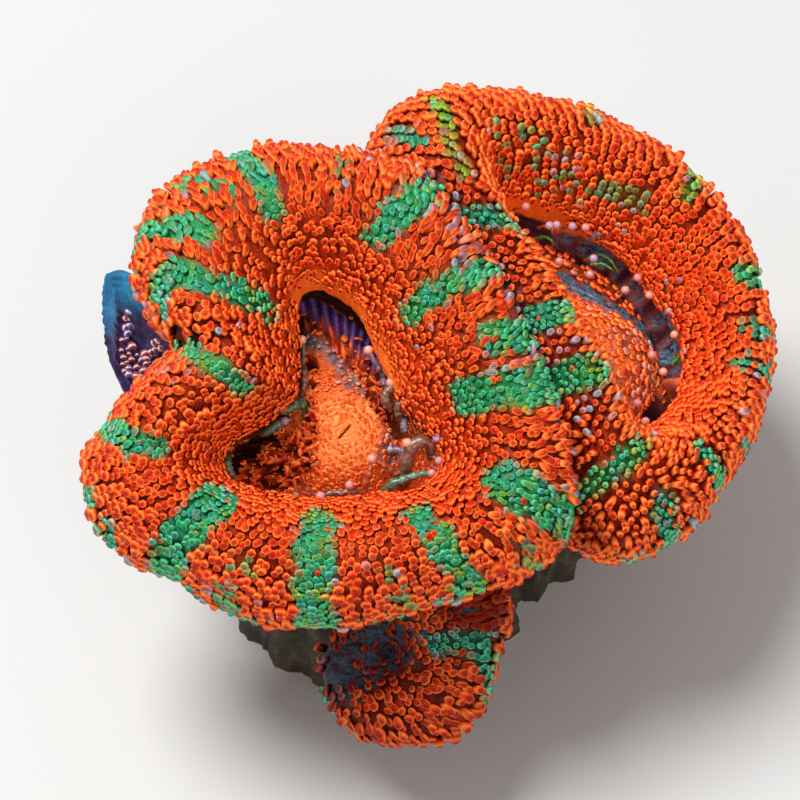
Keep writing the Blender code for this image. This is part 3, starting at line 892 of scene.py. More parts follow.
def frontPit(angles, shares, points):
    plan = frontPitPlan
    x, y = pitPlace(frontPolyp, points)
    depth = shares / lipShare
    inside = smooth(depth, 1.0, 0.9)
    floor = inside * smooth(depth, 0.78, 0.64)
    flat = np.stack([x, y, 0 * x], axis=1)
    warp = 0.35 * lumps(flat, 1.0, 2.2)

    # the mouth disc: coiled ridges round a slanting slit
    radius = np.hypot(x - plan["domeCentre"][0], y - plan["domeCentre"][1])
    dome = smooth(radius, plan["domeRadius"] + 0.5, plan["domeRadius"] - 0.3) * inside
    coil = np.sin(turn * radius / plan["coil"] + 5.0 * lumps(flat, 0.6, 5.1))
    coil = coil * smooth(lumps(flat, 0.35, 7.7), -0.8, 0.3)
    slit = smooth(np.abs(x * 0.76 - (y + 0.15) * 0.65), 0.09, 0.03)
    slit = slit * smooth(np.abs(x * 0.65 + (y + 0.15) * 0.76), 0.55, 0.4)
    # crumpled folds under the left lobe, and pleats along its edge
    foldX, foldY, foldWide, foldDeep = plan["fold"]
    spread = np.hypot((x - foldX) / foldWide, (y - foldY) / foldDeep)
    fold = smooth(spread, 1.15, 0.85) * inside * (1 - dome)
    pleats = nearPath(x, y, plan["pleats"], 0.30) * inside
    ruffle = nearPath(x, y, plan["ruffle"], 0.32, 0.3) * inside
    fold = np.maximum(fold, np.maximum(pleats, 0.9 * ruffle))
    drawn = np.stack([x * 0.8 + warp, y * 1.9 + 0.5 * x + warp, 0 * x], axis=1)
    crease = 1 - np.abs(lumps(drawn, 0.85, 8.3))
    crumple = 1 - np.abs(lumps(flat + warp[:, None], 0.45, 3.1))
    crest = np.clip(0.55 * crease + 0.45 * crumple, 0, 1) ** 2
    # the striped cushion against the far wall
    band = nearPath(x, y, plan["band"], 0.40, 0.2) * floor
    stripe = 0.5 + 0.5 * np.cos(angles * plan["stripes"])
    mist = nearPath(x, y, plan["mist"], 0.42, 0.5) * (1 - dome)
    mist = np.maximum(mist, 0.7 * nearPath(x, y, plan["hem"], 0.4, 0.7))
    mist = mist * inside * (1 - band) * (1 - fold)
    gully = nearPath(x, y, plan["gully"], 0.25, 0.3) * inside * (1 - band)
    cavity = nearPath(x, y, plan["cavity"], 0.35, 0.4) * inside
    rough = smooth(radius, 1.8, 2.6) * inside * (1 - band)

    lift = dome * (0.07 * coil * smooth(radius, 0.2, 0.6) - 0.25 * slit)
    lift += fold * (1.3 * crest - 0.75) + band * (0.95 + 0.08 * stripe)
    lift += rough * (0.16 * lumps(flat, 0.6, 1.3) + 0.08 * lumps(flat, 0.25, 4.3))
    lift += -0.35 * gully - 0.3 * cavity
    lift += 0.35 * floor * smooth(y, 0.5, 3.5) * (1 - band)
    # painted shade in the creases of the folds, the cavity, the gully, the far wall under the lip and the
    # mouth slit
    dark = fold * smooth(crest, 0.30, 0.08) * 0.6
    dark = np.maximum(dark, cavity)
    dark = np.maximum(dark, gully * 0.85)
    nearer = 0.60 - 0.10 * smooth(y, 2.0, 4.0)
    shadow = smooth(depth, nearer, nearer + 0.07) * smooth(depth, 1.0, 0.96) * (1 - band)
    dark = np.maximum(dark, shadow * smooth(y, -2.0, 0.5))
    dark = np.maximum(dark, slit * 0.8)
    # painted highlight on the disc's coiled ridges and on the crests of the folds
    glow = np.maximum(dome * (0.55 + 0.45 * coil), 0.25 * rough * smooth(lumps(flat, 0.5, 9.9), 0.0, 0.8))
    masks = {
        "glow": glow * (1 - fold) + fold * smooth(crest, 0.25, 1.0),
        "fold": fold, "band": band, "stripe": stripe, "mist": mist, "teal": 0.35 * mist,
        "dark": dark * (1 - band), "pit": inside, "bare": 0 * x,
    }
    return lift, masks


# The same for the rear pit.
rearPitPlan = {
    "groove": (
        (-5.2, 8.8), (-3.4, 8.5), (-2.1, 7.9), (-0.7, 7.6), (0.8, 7.2), (2.0, 6.7), (2.8, 6.2), (3.5, 5.5),
        (4.3, 4.6), (4.9, 3.6), (5.3, 2.6),
    ),
    "fringe": (
        (-1.2, 8.3), (0.5, 7.9), (2.0, 7.2), (3.2, 6.2), (4.2, 5.1), (4.9, 3.8), (5.3, 2.4), (5.3, 1.4),
    ),
    "teal": (
        (-2.4, 5.0), (-1.5, 4.6), (-0.6, 4.1), (0.2, 3.9), (0.9, 3.5), (1.8, 3.35), (2.6, 3.3), (4.0, 3.3),
        (4.6, 3.1),
    ),
    "scatter": ((-2.8, 6.4), (-0.8, 5.7), (1.2, 5.3), (2.8, 4.7)),
    "holes": (((5.7, 1.0), (5.4, -0.2)), ((3.8, -2.9), (4.7, -1.7))),
    "bridge": ((5.6, -0.9), (5.0, -1.0)),
}


def rearPit(angles, shares, points):
    plan = rearPitPlan
    x, y = pitPlace(rearPolyp, points)
    depth = shares / lipShare
    inside = smooth(depth, 1.0, 0.9)
    flat = np.stack([x, y, 0 * x], axis=1)
    coil = lumps(flat, 0.5, 6.1)
    patchy = lumps(flat, 0.7, 3.9)
    wallFoot = np.interp(x, (-1.5, 0.3, 3.0, 5.0), (0.71, 0.79, 0.82, 0.86))
    below = smooth(depth, wallFoot, wallFoot - 0.05)
    groove = nearPath(x, y, plan["groove"], 0.55, 0.3) * inside * below
    teal = nearPath(x, y, plan["teal"], 0.62, 0.35) * inside * (1 - 0.7 * groove)
    fringe = nearPath(x, y, plan["fringe"], 0.30, 0.40) * inside * smooth(patchy, -0.8, 0.1) * below
    scatter = nearPath(x, y, plan["scatter"], 0.85, 0.3) * inside * (1 - groove) * (1 - 0.6 * teal)
    bridge = nearPath(x, y, plan["bridge"], 0.2, 0.4) * inside
    holes = np.maximum(*[nearPath(x, y, path, 0.5, 0.45) for path in plan["holes"]])
    holes = holes * inside * (1 - bridge)
    disc = inside * (1 - groove) * (1 - teal) * (1 - holes) * (1 - scatter)
    pale = smooth(lumps(flat, 0.8, 2.4), -0.5, 0.4) * smooth(x, -1.0, 1.2) * smooth(y, 3.2, 1.5)
    lift = disc * 0.14 * coil + 0.07 * inside * lumps(flat, 0.25, 4.3)
    lift += -0.25 * groove - 0.7 * holes + 1.2 * bridge
    lift += 0.15 * teal + 0.2 * scatter * patchy + 0.2 * fringe * coil
    # painted shade in the groove, the holes and among the scattered balls
    dark = np.maximum(groove * smooth(patchy, 0.5, -0.3) * 0.75, np.maximum(holes * 0.55, 0.75 * scatter))
    # painted highlight on the disc's coiled ridges, fading towards the right of the mouth
    masks = {
        "glow": disc * (0.35 + 0.3 * coil) * smooth(x, 4.5, -1.0), "fold": 0 * x,
        "band": np.maximum(groove * 0.9, holes * 0.9) * (1 - 0.8 * fringe),
        "stripe": 0.15 + 0.4 * lumps(flat, 0.5, 1.9),
        "mist": np.maximum(np.maximum(teal, fringe), disc * pale * 0.6), "teal": np.maximum(teal, fringe),
        "dark": dark * (1 - 0.7 * fringe), "pit": inside, "scatter": scatter,
        "bare": smooth(depth, 0.64, 0.70) * smooth(y, 3.0, 5.0),
    }
    return lift, masks


def budPit(angles, shares, points):
    x, y = pitPlace(budPolyp, points)
    depth = shares / lipShare
    inside = smooth(depth, 1.0, 0.85)
    flat = np.stack([x, y, 0 * x], axis=1)
    none = 0 * x
    veins = smooth((x - 0.7) * 0.62 - (y + 0.3) * 0.78 + 1.1 * lumps(flat, 0.9, 5.0), 1.0, 0.1)
    veins *= smooth(shares, 0.9, 0.8)
    lift = 0.10 * lumps(points, 0.5, 2.1) * smooth(shares, 0.95, 0.8)
    # the whole bud is darkened with painted shade, as it lies under the front polyp
    masks = {
        "glow": none, "fold": none, "band": none, "stripe": none, "mist": veins, "teal": veins * 0.8,
        "dark": none + 0.66, "pit": np.maximum(inside, veins),
    }
    return lift, masks


def curls(place, size):
    # small round shapes, with painted shade where they meet, a painted highlight round their rims and
    # deeper middles
    sockets = {"Vector": place, "Scale": 1 / size, "Randomness": 0.8}
    reach = place.node("ShaderNodeTexVoronoi", {"feature": "DISTANCE_TO_EDGE"}, sockets, "Distance")
    return ramp(reach, (0.0, 70, 8, 2), (0.06, 190, 60, 18), (0.15, 255, 150, 74),
                       (0.3, 250, 104, 34), (0.5, 222, 70, 20))


def makeSkinMaterial():
    material, shader, start, place = newMaterial("polyp skin", 0.5, 0.05, 0.25)
    shader.inputs["Specular IOR Level"].default_value = 0.1
    shader.inputs["Emission Strength"].default_value = 0.16
    cloud = grain(place, 0.8, 4.0)
    fine = grain(place, 0.16, 3.0)
    pit = shaderAttribute(start, "pit")
    glow = shaderAttribute(start, "glow")
    travel = shaderAttribute(start, "travel")
    # painted shade: between the knobs the flesh is darkened, more so further from the pit's lip, and it
    # brightens towards the lip
    wrinkle = clamp(1 - (grain(place, 0.30, 2.0) - 0.5) * (grain(place, 0.30, 2.0) - 0.5) * 260)
    level = clamp(0.59 - travel * 0.65 + (cloud - 0.5) * 0.15, 0.43) + wrinkle * 0.05
    leafLevel = clamp(0.50 + (cloud - 0.5) * 0.3 + (fine - 0.5) * 0.2)
    level = blend(shaderAttribute(start, "green"), level, leafLevel)
    colour = livingColour(start, level)
    # the pit's flesh is painted with these curls of painted shade and painted highlight
    colour = blend(pit * 0.45, colour, curls(place, 0.34))
    # painted highlight: the glow mask brightens the mouth disc's coils and the folds' crests
    brightTones = ((0.0, 244, 96, 34), (0.5, 254, 126, 54), (1.0, 255, 176, 104))
    bright = ramp(clamp(glow + (fine - 0.5) * 0.5), *brightTones)
    colour = blend(clamp(glow * 1.8 + 0.05) * pit, colour, bright)
    lipTones = ((0.0, 248, 86, 16), (0.5, 255, 122, 40), (1.0, 255, 168, 88))
    colour = blend(shaderAttribute(start, "lip"), colour, ramp(clamp(fine * 2.4 - 0.7), *lipTones))
    mistTones = ((0.0, 12, 14, 22), (0.35, 34, 66, 80), (0.6, 112, 98, 104), (1.0, 228, 128, 104))
    wispTones = ((0.0, 20, 6, 32), (0.22, 4, 44, 74), (0.45, 0, 112, 138),
                 (0.75, 10, 148, 176), (1.0, 150, 204, 226))
    misty = ramp(clamp(cloud * 1.7 - 0.35), *mistTones)
    drawn = place.node("ShaderNodeVectorMath", {"operation": "MULTIPLY"}, {0: place, 1: (0.45, 1.5, 1.0)})
    fibre = grain(drawn, 0.35, 4.0, 0.6)
    misty = blend(shaderAttribute(start, "teal"), misty, ramp(clamp(fibre * 2.2 - 0.68), *wispTones))
    colour = blend(shaderAttribute(start, "mist") * clamp(fine * 3.2 - 0.7), colour, misty)
    # the folds are painted by their crests, bright as a painted highlight and dark as painted shade between
    # them
    foldTones = ((0.0, 64, 4, 10), (0.3, 126, 18, 12), (0.55, 198, 54, 20), (0.8, 250, 118, 52),
                 (1.0, 255, 164, 96))
    folded = ramp(clamp(glow + (fine - 0.5) * 0.5), *foldTones)
    colour = blend(shaderAttribute(start, "fold") * 0.95, colour, folded)
    bandTones = ((0.0, 34, 10, 40), (0.5, 84, 44, 98), (1.0, 122, 110, 184))
    stripe = clamp(shaderAttribute(start, "stripe") * 0.8 + (fine - 0.5) * 0.5)
    colour = blend(shaderAttribute(start, "band"), colour, ramp(stripe, *bandTones))
    # painted shade from the masks, in the pit's recesses, the clefts and over the bud
    colour = blend(shaderAttribute(start, "dark") * 0.94, colour, tone(20, 4, 14))
    # body wall under the ring, dark red-brown and painted darker still as shade under the ring
    wall = clamp(travel * 9 - 7.4)
    wallTones = ((0.0, 34, 10, 8), (0.5, 82, 22, 16), (1.0, 118, 56, 40))
    colour = blend(wall, colour, ramp(clamp(cloud * 1.5 - 0.2), *wallTones))
    # painted light: the pit and the smooth lip glow a little by emission, the lip in a brighter orange, to
    # lift them out of their shade
    lit = blend(shaderAttribute(start, "lip"), colour, tone(255, 112, 20))
    start.tree.links.new(blend(pit, tone(0, 0, 0), lit).socket, shader.inputs["Emission Color"])
    finishShader(start, shader, colour, fine * 0.6 + cloud * 0.5 + wrinkle * 0.5, 0.5)
    return material


skinMaterial = makeSkinMaterial()


def makeSkin(name, polyp, stripes, pitShape, look):
    print("skin", name)
    angles, shares, rings = skinGrid(look)
    points = skinPoint(polyp, angles, shares)
    lift, masks = pitShape(angles, shares, points)
    travel = (shares - lipShare) / (1 - lipShare)
    onRing = smooth(travel, 0.04, 0.2)
    lift = lift + onRing * (0.10 * lumps(points, 1.6, 9.0) + 0.02)
    green, hue, fill = stripeMasks(polyp, stripes, points)
    green = green * smooth(fill, 0.3, 0.9) * smooth(travel, -0.02, 0.04)
    frill = patchChance(polyp, look["frill"], points) * smooth(lumps(points, 0.8, 2.6), -0.5, 0.2)
    masks["green"] = np.maximum(green, frill)
    masks["hue"] = np.where(frill > green, 0.15, hue + 0.3 * lumps(points, 1.1, 6.6))
    masks["grey"] = np.zeros(len(points))
    masks["lip"] = np.zeros(len(points))
    for startAngle, width, begin, end in look["smoothLip"]:
        apart = np.abs((np.degrees(angles) - startAngle - width / 2 + 180) % 360 - 180)
        beside = smooth(apart, width / 2 + 8, width / 2)
        lip = beside * smooth(travel, begin, begin + 0.045) * smooth(travel, end + 0.06, end)
        masks["pit"] = np.maximum(masks["pit"], lip)
        masks["lip"] = np.maximum(masks["lip"], lip)
        lift = lift + lip * 0.09 * lumps(points * (1, 1, 0.4), 0.34, 6.2)
    if polyp["seamSide"]:
        close = smooth(seamRoom(points, polyp["seamSide"])[0][:, 0], 1.2, 0.1) * onRing
        close = close * (0.35 + 0.65 * smooth(lumps(points, 0.7, 3.2), -0.4, 0.4))
        masks["mist"] = np.maximum(masks["mist"], close)
        masks["teal"] = np.maximum(masks["teal"], close)
    # painted shade in the clefts, which also sink the skin
    cleft = patchChance(polyp, look["clefts"], points)
    masks["dark"] = np.maximum(masks["dark"], cleft)
    lift = lift - 1.1 * cleft
    masks["travel"] = np.clip(travel, 0, 1)
    points = skinPoint(polyp, angles, shares, lift).reshape(rings, look["round"], 3)
    skin = shell(name, points, masks, skinMaterial)
    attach(skin, "root")
    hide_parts(polyp["node"])


skinLook = {
    "round": 340, "discRings": 38, "pitRings": 44, "outerRings": 32, "smoothLip": knobLook["smoothLip"],
    "frill": ((222, 0.66, 3.0, 0.9), (245, 0.66, 3.0, 0.9), (268, 0.66, 3.0, 0.9), (292, 0.64, 3.0, 0.9)),
    "clefts": ((152, 0.50, 1.7, 1.0), (153, 0.60, 2.2, 1.0), (152, 0.42, 1.0, 0.9)),
}
rearSkinLook = {
    **skinLook, "round": 280, "discRings": 28, "pitRings": 34, "smoothLip": ((101, 32, -0.19, -0.01),),
    "frill": (), "clefts": (),
}
budSkinLook = {
    **skinLook, "round": 140, "discRings": 6, "pitRings": 8, "smoothLip": (), "frill": (), "clefts": (),
}
makeSkin("front_skin", frontPolyp, frontStripes, frontPit, skinLook)
makeSkin("rear_skin", rearPolyp, rearStripes, rearPit, rearSkinLook)
makeSkin("bud_skin", budPolyp, budStripes, budPit, budSkinLook)


def tentacleTree():
    # a tube along every strand, with a ball where the strand says
    inputs = {"Sides": "Int", "Ball segments": "Int", "Ball rings": "Int", "Unit": "Float",
              "Material": "Material"}
    tree, given = newTree("tentacles", inputs)
    start = given["Geometry"]
    path = start.node("GeometryNodeMeshToCurve", None, {"Mesh": start})
    ring = start.node("GeometryNodeCurvePrimitiveCircle", None,
                      {"Resolution": given["Sides"], "Radius": 1.0})
    thick = named(start, "thick") * given["Unit"]
    tubes = start.node("GeometryNodeCurveToMesh", None,
                       {"Curve": path, "Profile Curve": ring, "Scale": thick, "Fill Caps": True})
    sizes = {"Segments": given["Ball segments"], "Rings": given["Ball rings"], "Radius": given["Unit"]}
    ball = start.node("GeometryNodeMeshUVSphere", None, sizes)
    store = {"data_type": "FLOAT", "domain": "POINT"}
    ball = start.node("GeometryNodeStoreNamedAttribute", store,
                      {"Geometry": ball, "Name": "tip", "Value": 1.0})
    size = named(start, "ball")
    atEnd = start.node("FunctionNodeCompare", {"data_type": "FLOAT", "operation": "GREATER_THAN"},
                       {0: size, 1: 0.01})
    balls = start.node("GeometryNodeInstanceOnPoints", None,
                       {"Points": start, "Selection": atEnd, "Instance": ball, "Scale": size})
    both = start.node("GeometryNodeJoinGeometry", None, {"Geometry": [tubes, balls]})
    both = start.node("GeometryNodeRealizeInstances", None, {"Geometry": both})
    endTree(tree, both, given["Material"])
    return tree


# The kinds of strand, in the order of their numbers on the mesh.
strandTones = {
    "brown": ((0.0, 64, 34, 28), (0.5, 124, 84, 66), (1.0, 186, 136, 112)),
    "green": ((0.0, 28, 52, 40), (0.5, 84, 124, 92), (1.0, 150, 186, 150)),
    "lilac": ((0.0, 56, 40, 58), (0.5, 126, 104, 124), (1.0, 192, 170, 190)),
    "leaf": ((0.0, 18, 90, 44), (0.5, 60, 176, 64), (1.0, 160, 206, 70)),
    "rust": ((0.0, 96, 28, 12), (0.5, 186, 74, 36), (1.0, 236, 136, 84)),
}


def makeTentacleMaterial():
    material, shader, start, place = newMaterial("tentacles", 0.3, 0.4, 0.15)
    kind = shaderAttribute(start, "kind")
    mottle = clamp(grain(place, 0.22, 3.0) * 2.0 - 0.5)
    colour = ramp(mottle, *strandTones["brown"])
    for before, name in enumerate(list(strandTones)[1:]):
        colour = blend(clamp(kind - before), colour, ramp(mottle, *strandTones[name]))
    pearl = ramp(clamp(mottle + (shaderAttribute(start, "shade") - 0.5) * 1.4),
                 (0.0, 206, 176, 206), (0.4, 236, 150, 132), (1.0, 252, 186, 160))
    colour = blend(shaderAttribute(start, "tip"), colour, pearl)
    finishShader(start, shader, colour, mottle, 0.3)
    return material


# Strands are (kind, radius at the root, radius at the end, ball radius, places); a place is so far
# right of the mouth, back of it, and above it.
frontStrands = (
    ("green", 0.13, 0.08, 0.26,
     ((-2.5, 2.6, -0.6), (-2.3, 3.4, 0.2), (-2.2, 4.2, 0.7), (-2.3, 4.8, 0.9))),
    ("brown", 0.26, 0.16, 0.0, ((-2.4, 3.6, -0.2), (-2.2, 3.0, 0.5), (-2.2, 2.3, 0.5), (-2.4, 1.7, 0.1))),
    ("green", 0.30, 0.17, 0.0,
     ((-2.1, 1.1, -0.2), (-2.4, 1.4, 0.5), (-2.8, 1.1, 0.8), (-3.3, 0.9, 0.9), (-3.8, 1.2, 0.7))),
    ("rust", 0.12, 0.10, 0.24, ((-2.6, 0.2, -0.4), (-2.8, 0.5, 0.3), (-3.2, 0.4, 0.6))),
    ("green", 0.24, 0.22, 0.0,
     ((-3.1, 0.6, -0.1), (-3.5, 0.3, 0.5), (-4.0, -0.1, 0.6), (-4.5, -0.3, 0.2))),
    ("green", 0.20, 0.24, 0.0,
     ((-6.3, -1.2, -0.2), (-6.3, -1.7, 0.4), (-6.2, -2.2, 0.5), (-5.9, -2.7, 0.2))),
    ("lilac", 0.20, 0.11, 0.27, ((2.3, 2.5, -0.5), (2.1, 3.0, 0.3), (1.7, 3.5, 0.8), (1.3, 4.2, 1.0))),
    ("lilac", 0.20, 0.13, 0.26, ((2.3, 2.8, -0.4), (2.1, 2.6, 0.5), (2.2, 2.4, 0.9), (2.5, 2.4, 1.1))),
    ("lilac", 0.14, 0.10, 0.26, ((2.6, 2.0, 0.1), (2.8, 2.2, 0.8), (2.95, 2.45, 1.15))),
    ("brown", 0.27, 0.24, 0.0,
     ((2.9, 2.3, 0.3), (2.5, 2.1, 0.9), (2.2, 1.7, 1.0), (2.3, 1.3, 0.9), (2.8, 1.0, 0.4))),
    ("brown", 0.24, 0.12, 0.28, ((3.2, 0.4, 0.1), (2.9, 0.8, 0.8), (2.9, 1.2, 1.1), (3.3, 1.4, 1.25))),
    ("lilac", 0.16, 0.20, 0.0, ((3.3, 0.6, 0.2), (3.2, 0.1, 0.8), (3.3, -0.3, 0.7))),
    ("brown", 0.40, 0.28, 0.0,
     ((3.1, -3.0, -0.6), (3.3, -2.2, 0.5), (3.5, -1.4, 1.2), (4.0, -0.9, 1.5), (4.6, -1.1, 1.2),
      (4.6, -1.8, 0.4))),
    ("lilac", 0.12, 0.10, 0.27, ((3.6, -1.7, 0.8), (3.5, -1.3, 1.3), (3.4, -1.0, 1.55))),
    ("lilac", 0.20, 0.16, 0.20, ((3.4, -1.8, 0.6), (3.2, -1.5, 0.9), (3.1, -1.3, 1.0), (2.5, -1.2, 0.8))),
    ("lilac", 0.10, 0.08, 0.27, ((4.5, -1.2, 0.9), (4.8, -0.9, 1.3), (5.0, -0.7, 1.45))),
    ("rust", 0.10, 0.08, 0.26, ((4.6, -2.0, 0.6), (5.0, -2.3, 0.9), (5.25, -2.45, 1.1))),
    ("lilac", 0.10, 0.08, 0.24, ((4.6, -1.5, 0.8), (4.9, -1.7, 1.0), (5.1, -1.9, 1.2))),
    ("green", 0.30, 0.12, 0.24,
     ((2.2, -3.5, -0.1), (2.6, -3.1, 0.7), (3.4, -2.8, 0.9), (4.1, -2.6, 1.0), (4.7, -2.55, 1.05))),
    ("rust", 0.26, 0.10, 0.28, ((3.0, -2.6, 0.1), (2.5, -2.3, 0.6), (2.0, -2.0, 1.0), (1.5, -1.8, 1.2))),
    ("rust", 0.22, 0.10, 0.0, ((1.0, -3.6, 0.0), (1.2, -3.0, 0.6), (1.4, -2.3, 1.0), (1.5, -1.9, 1.15))),
    ("brown", 0.22, 0.11, 0.28,
     ((0.8, -3.7, 0.2), (0.4, -3.5, 0.8), (-0.1, -3.6, 0.9), (-0.7, -3.6, 0.9), (-1.25, -3.8, 0.95))),
    ("rust", 0.14, 0.10, 0.25, ((0.0, -3.6, 0.5), (0.2, -3.4, 0.9), (0.3, -3.2, 1.1))),
    ("lilac", 0.12, 0.10, 0.22, ((0.6, -3.6, 0.5), (0.8, -3.8, 0.8), (0.95, -4.05, 0.9))),
)
rearStrands = (
    ("leaf", 0.10, 0.06, 0.0,
     ((-3.5, 7.3, -1.4), (-3.2, 7.15, -0.7), (-2.7, 7.0, -0.7), (-2.4, 6.9, -1.2))),
    ("leaf", 0.12, 0.05, 0.0, ((0.1, 7.1, -1.4), (0.5, 7.0, -0.7), (1.1, 6.7, -0.6), (1.8, 6.2, -0.9))),
    ("leaf", 0.09, 0.05, 0.0, ((0.2, 6.6, -1.3), (0.7, 6.5, -0.8), (1.4, 6.2, -0.8))),
    ("leaf", 0.10, 0.06, 0.0, ((3.9, 5.7, -1.2), (4.2, 5.2, -0.7), (4.5, 4.6, -0.9))),
    ("leaf", 0.12, 0.05, 0.0, ((5.1, 1.0, -0.8), (5.3, 1.5, 0.3), (5.7, 1.9, 0.6), (6.2, 2.0, 0.6))),
    ("lilac", 0.20, 0.12, 0.24, ((3.3, 6.0, 1.0), (3.5, 6.5, 1.7), (3.8, 7.0, 2.2), (4.2, 7.5, 2.6))),
    ("lilac", 0.22, 0.16, 0.0, ((0.8, 7.6, 0.4), (0.2, 7.4, 1.0), (-0.4, 7.3, 0.9), (-0.9, 7.1, 0.2))),
    ("green", 0.22, 0.16, 0.0, ((2.2, 6.9, -0.8), (2.7, 6.5, -0.1), (3.2, 6.0, -0.2), (3.6, 5.6, -0.8))),
)
rearBalls = (
    (-5.6, 7.2, 1.5), (-3.7, 6.9, 0.8), (-3.3, 7.0, 0.9), (-2.2, 7.3, 0.8), (-1.4, 7.4, 0.9),
    (-2.3, 8.2, 1.8), (-0.2, 8.0, 1.5), (-0.4, 6.1, 0.0), (-2.8, 5.1, 0.2), (-0.8, 4.8, 0.2),
    (2.3, 5.4, 0.3), (1.5, 4.4, 0.2), (3.1, 4.5, 0.2), (4.3, 5.3, 1.6), (4.4, 4.1, 1.4), (5.7, 3.7, 2.2),
    (6.5, 3.9, 2.6), (7.0, 2.1, 2.6), (5.6, 2.0, 2.0), (4.4, 2.0, 0.6), (4.0, 3.4, 0.8), (5.3, 2.8, 1.8),
    (2.7, 0.1, 0.8), (3.4, -0.8, 0.8), (0.0, -2.0, 0.8), (1.6, -3.3, 0.8), (0.6, -4.0, 0.8),
    (2.2, -4.2, 0.6),
)
tentacleLook = {
    "samples": 20, "sides": 8, "thick": 1.15, "ballSegments": 12, "ballRings": 8, "ball": 0.25,
    "stalk": 0.08, "stalkEnd": 0.06, "drop": 1.0,
}


def ballStrand(place):
    # a short stalk from the floor, a little further out, with a ball on its tip
    way = unit(np.array(place[:2]))
    root = (place[0] + 0.4 * way[0], place[1] + 0.4 * way[1], place[2] - tentacleLook["drop"])
    middle = (place[0] + 0.25 * way[0], place[1] + 0.25 * way[1], place[2] - 0.5 * tentacleLook["drop"])
    return ("rust", tentacleLook["stalk"], tentacleLook["stalkEnd"], tentacleLook["ball"],
            (root, middle, place))


def growTentacles(name, polyp, strands):
    print("tentacles", name)
    random = np.random.default_rng(5)
    right, back, up = frameOf(polyp["axis"])
    points, edges = [], []
    masks = {"thick": [], "ball": [], "kind": [], "shade": []}
    kinds = list(strandTones)
    count = tentacleLook["samples"]
    for kind, rootRadius, endRadius, ball, places in strands:
        knots = np.array(places, float)[:, None, :]
        shares = np.linspace(0, 1, count)
        run = np.array([along(knots, np.array([share]))[0] for share in shares])
        first = len(points)
        points += [np.array(polyp["mouth"]) + right * x + back * y + up * z for x, y, z in run]
        edges += [(first + k, first + k + 1) for k in range(count - 1)]
        swell = 1 + 0.16 * np.sin(shares * 34 + random.uniform(0, turn))
        thick = (rootRadius + (endRadius - rootRadius) * shares) * swell * tentacleLook["thick"]
        if ball == 0:
            thick = thick * np.sqrt(np.clip(1 - (shares**6), 0.02, 1))
        masks["thick"] += list(thick)
        masks["ball"] += [0.0] * (count - 1) + [ball]
        masks["kind"] += [float(kinds.index(kind))] * count
        masks["shade"] += [random.random()] * count
    seeds = pointMesh(name, points, edges, masks)
    values = {"Sides": tentacleLook["sides"], "Ball segments": tentacleLook["ballSegments"],
              "Ball rings": tentacleLook["ballRings"], "Unit": mm, "Material": tentacleMaterial}
    tentacles = grow(name, seeds, tentacleNodes, values)
    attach(tentacles, "root")


tentacleNodes = tentacleTree()
tentacleMaterial = makeTentacleMaterial()
growTentacles("front_tentacles", frontPolyp, frontStrands)
rearStrands += tuple(ballStrand(place) for place in rearBalls)
growTentacles("rear_tentacles", rearPolyp, rearStrands)


def growBeads(name, polyp, pitShape, look):
    # small knobs scattered on the floor of a pit, or flaps where the look asks for the folds
    print("beads", name)
    random = np.random.default_rng(look["seed"])
    tries = look["tries"]
    angles = random.uniform(0, turn, tries)
    depth = np.sqrt(random.uniform(0, 1, tries)) * look["reach"]
    points, outward, aside, normal = skinFrame(polyp, angles, depth * lipShare)
    lift, masks = pitShape(angles, depth * lipShare, points)
    x, y = pitPlace(polyp, points)
    bare = np.maximum(masks["band"], masks["dark"]) > look["darkest"]
    bare |= np.hypot(x, y) < look["clear"]
    if look["where"] == "folds":
        bare |= masks["fold"] < 0.4
    elif look["where"] == "scatter":
        bare |= masks["scatter"] < 0.5
    else:
        bare |= np.maximum(masks["fold"], np.maximum(masks["teal"], masks["bare"])) > 0.5
    chosen = np.flatnonzero(~bare)
    kept = chosen[keepApart(points[chosen], np.full(len(chosen), look["gap"]))]
    count = len(kept)
    lean = np.radians(random.uniform(*look["lean"], count))[:, None]
    bearing = random.uniform(0, turn, count)[:, None]
    aslant = outward[kept] * np.cos(bearing) + aside[kept] * np.sin(bearing)
    way = unit(normal[kept] * np.cos(lean) + aslant * np.sin(lean))
    size = random.uniform(0.7, 1.3, count)
    misty = masks["mist"][kept]
    seedMasks = {
        "lean": way, "skinWay": normal[kept], "wide": look["girth"] * size, "tall": look["length"] * size,
        "green": misty * (random.random(count) < 0.10), "hue": random.uniform(0, 0.5, count),
        "grey": (random.random(count) < look["grey"] + 0.4 * misty) * random.uniform(0.4, 0.9, count),
        "tint": random.random(count),
        "glow": np.clip(masks["glow"][kept] * 1.4 * look["flatness"] + look["glow"], 0, 1),
        "dusk": np.full(count, look["dusk"]),
    }
    seeds = pointMesh(name, points[kept] + normal[kept] * lift[kept][:, None], [], seedMasks)
    values = {"Segments": 7, "Rings": 5, "Girth": mm, "Length": mm, "Sink": 0.3,
              "Flatness": look["flatness"], "Variation": 0.2, "Warp": 0.12 * mm, "Warp scale": 1.6 / mm,
              "Seed": look["seed"], "Material": knobMaterial}
    beads = grow(name, seeds, knobNodes, values)
    print("   ", count, "beads")
    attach(beads, "root")


beadLook = {
    "tries": 12000, "reach": 0.80, "clear": 0.8, "gap": 0.25, "girth": 0.25, "length": 0.24, "grey": 0.05,
    "lean": (0, 30), "glow": 0.35, "flatness": 1.0, "dusk": 0.0, "darkest": 0.45, "where": "floor",
    "seed": 41,
}
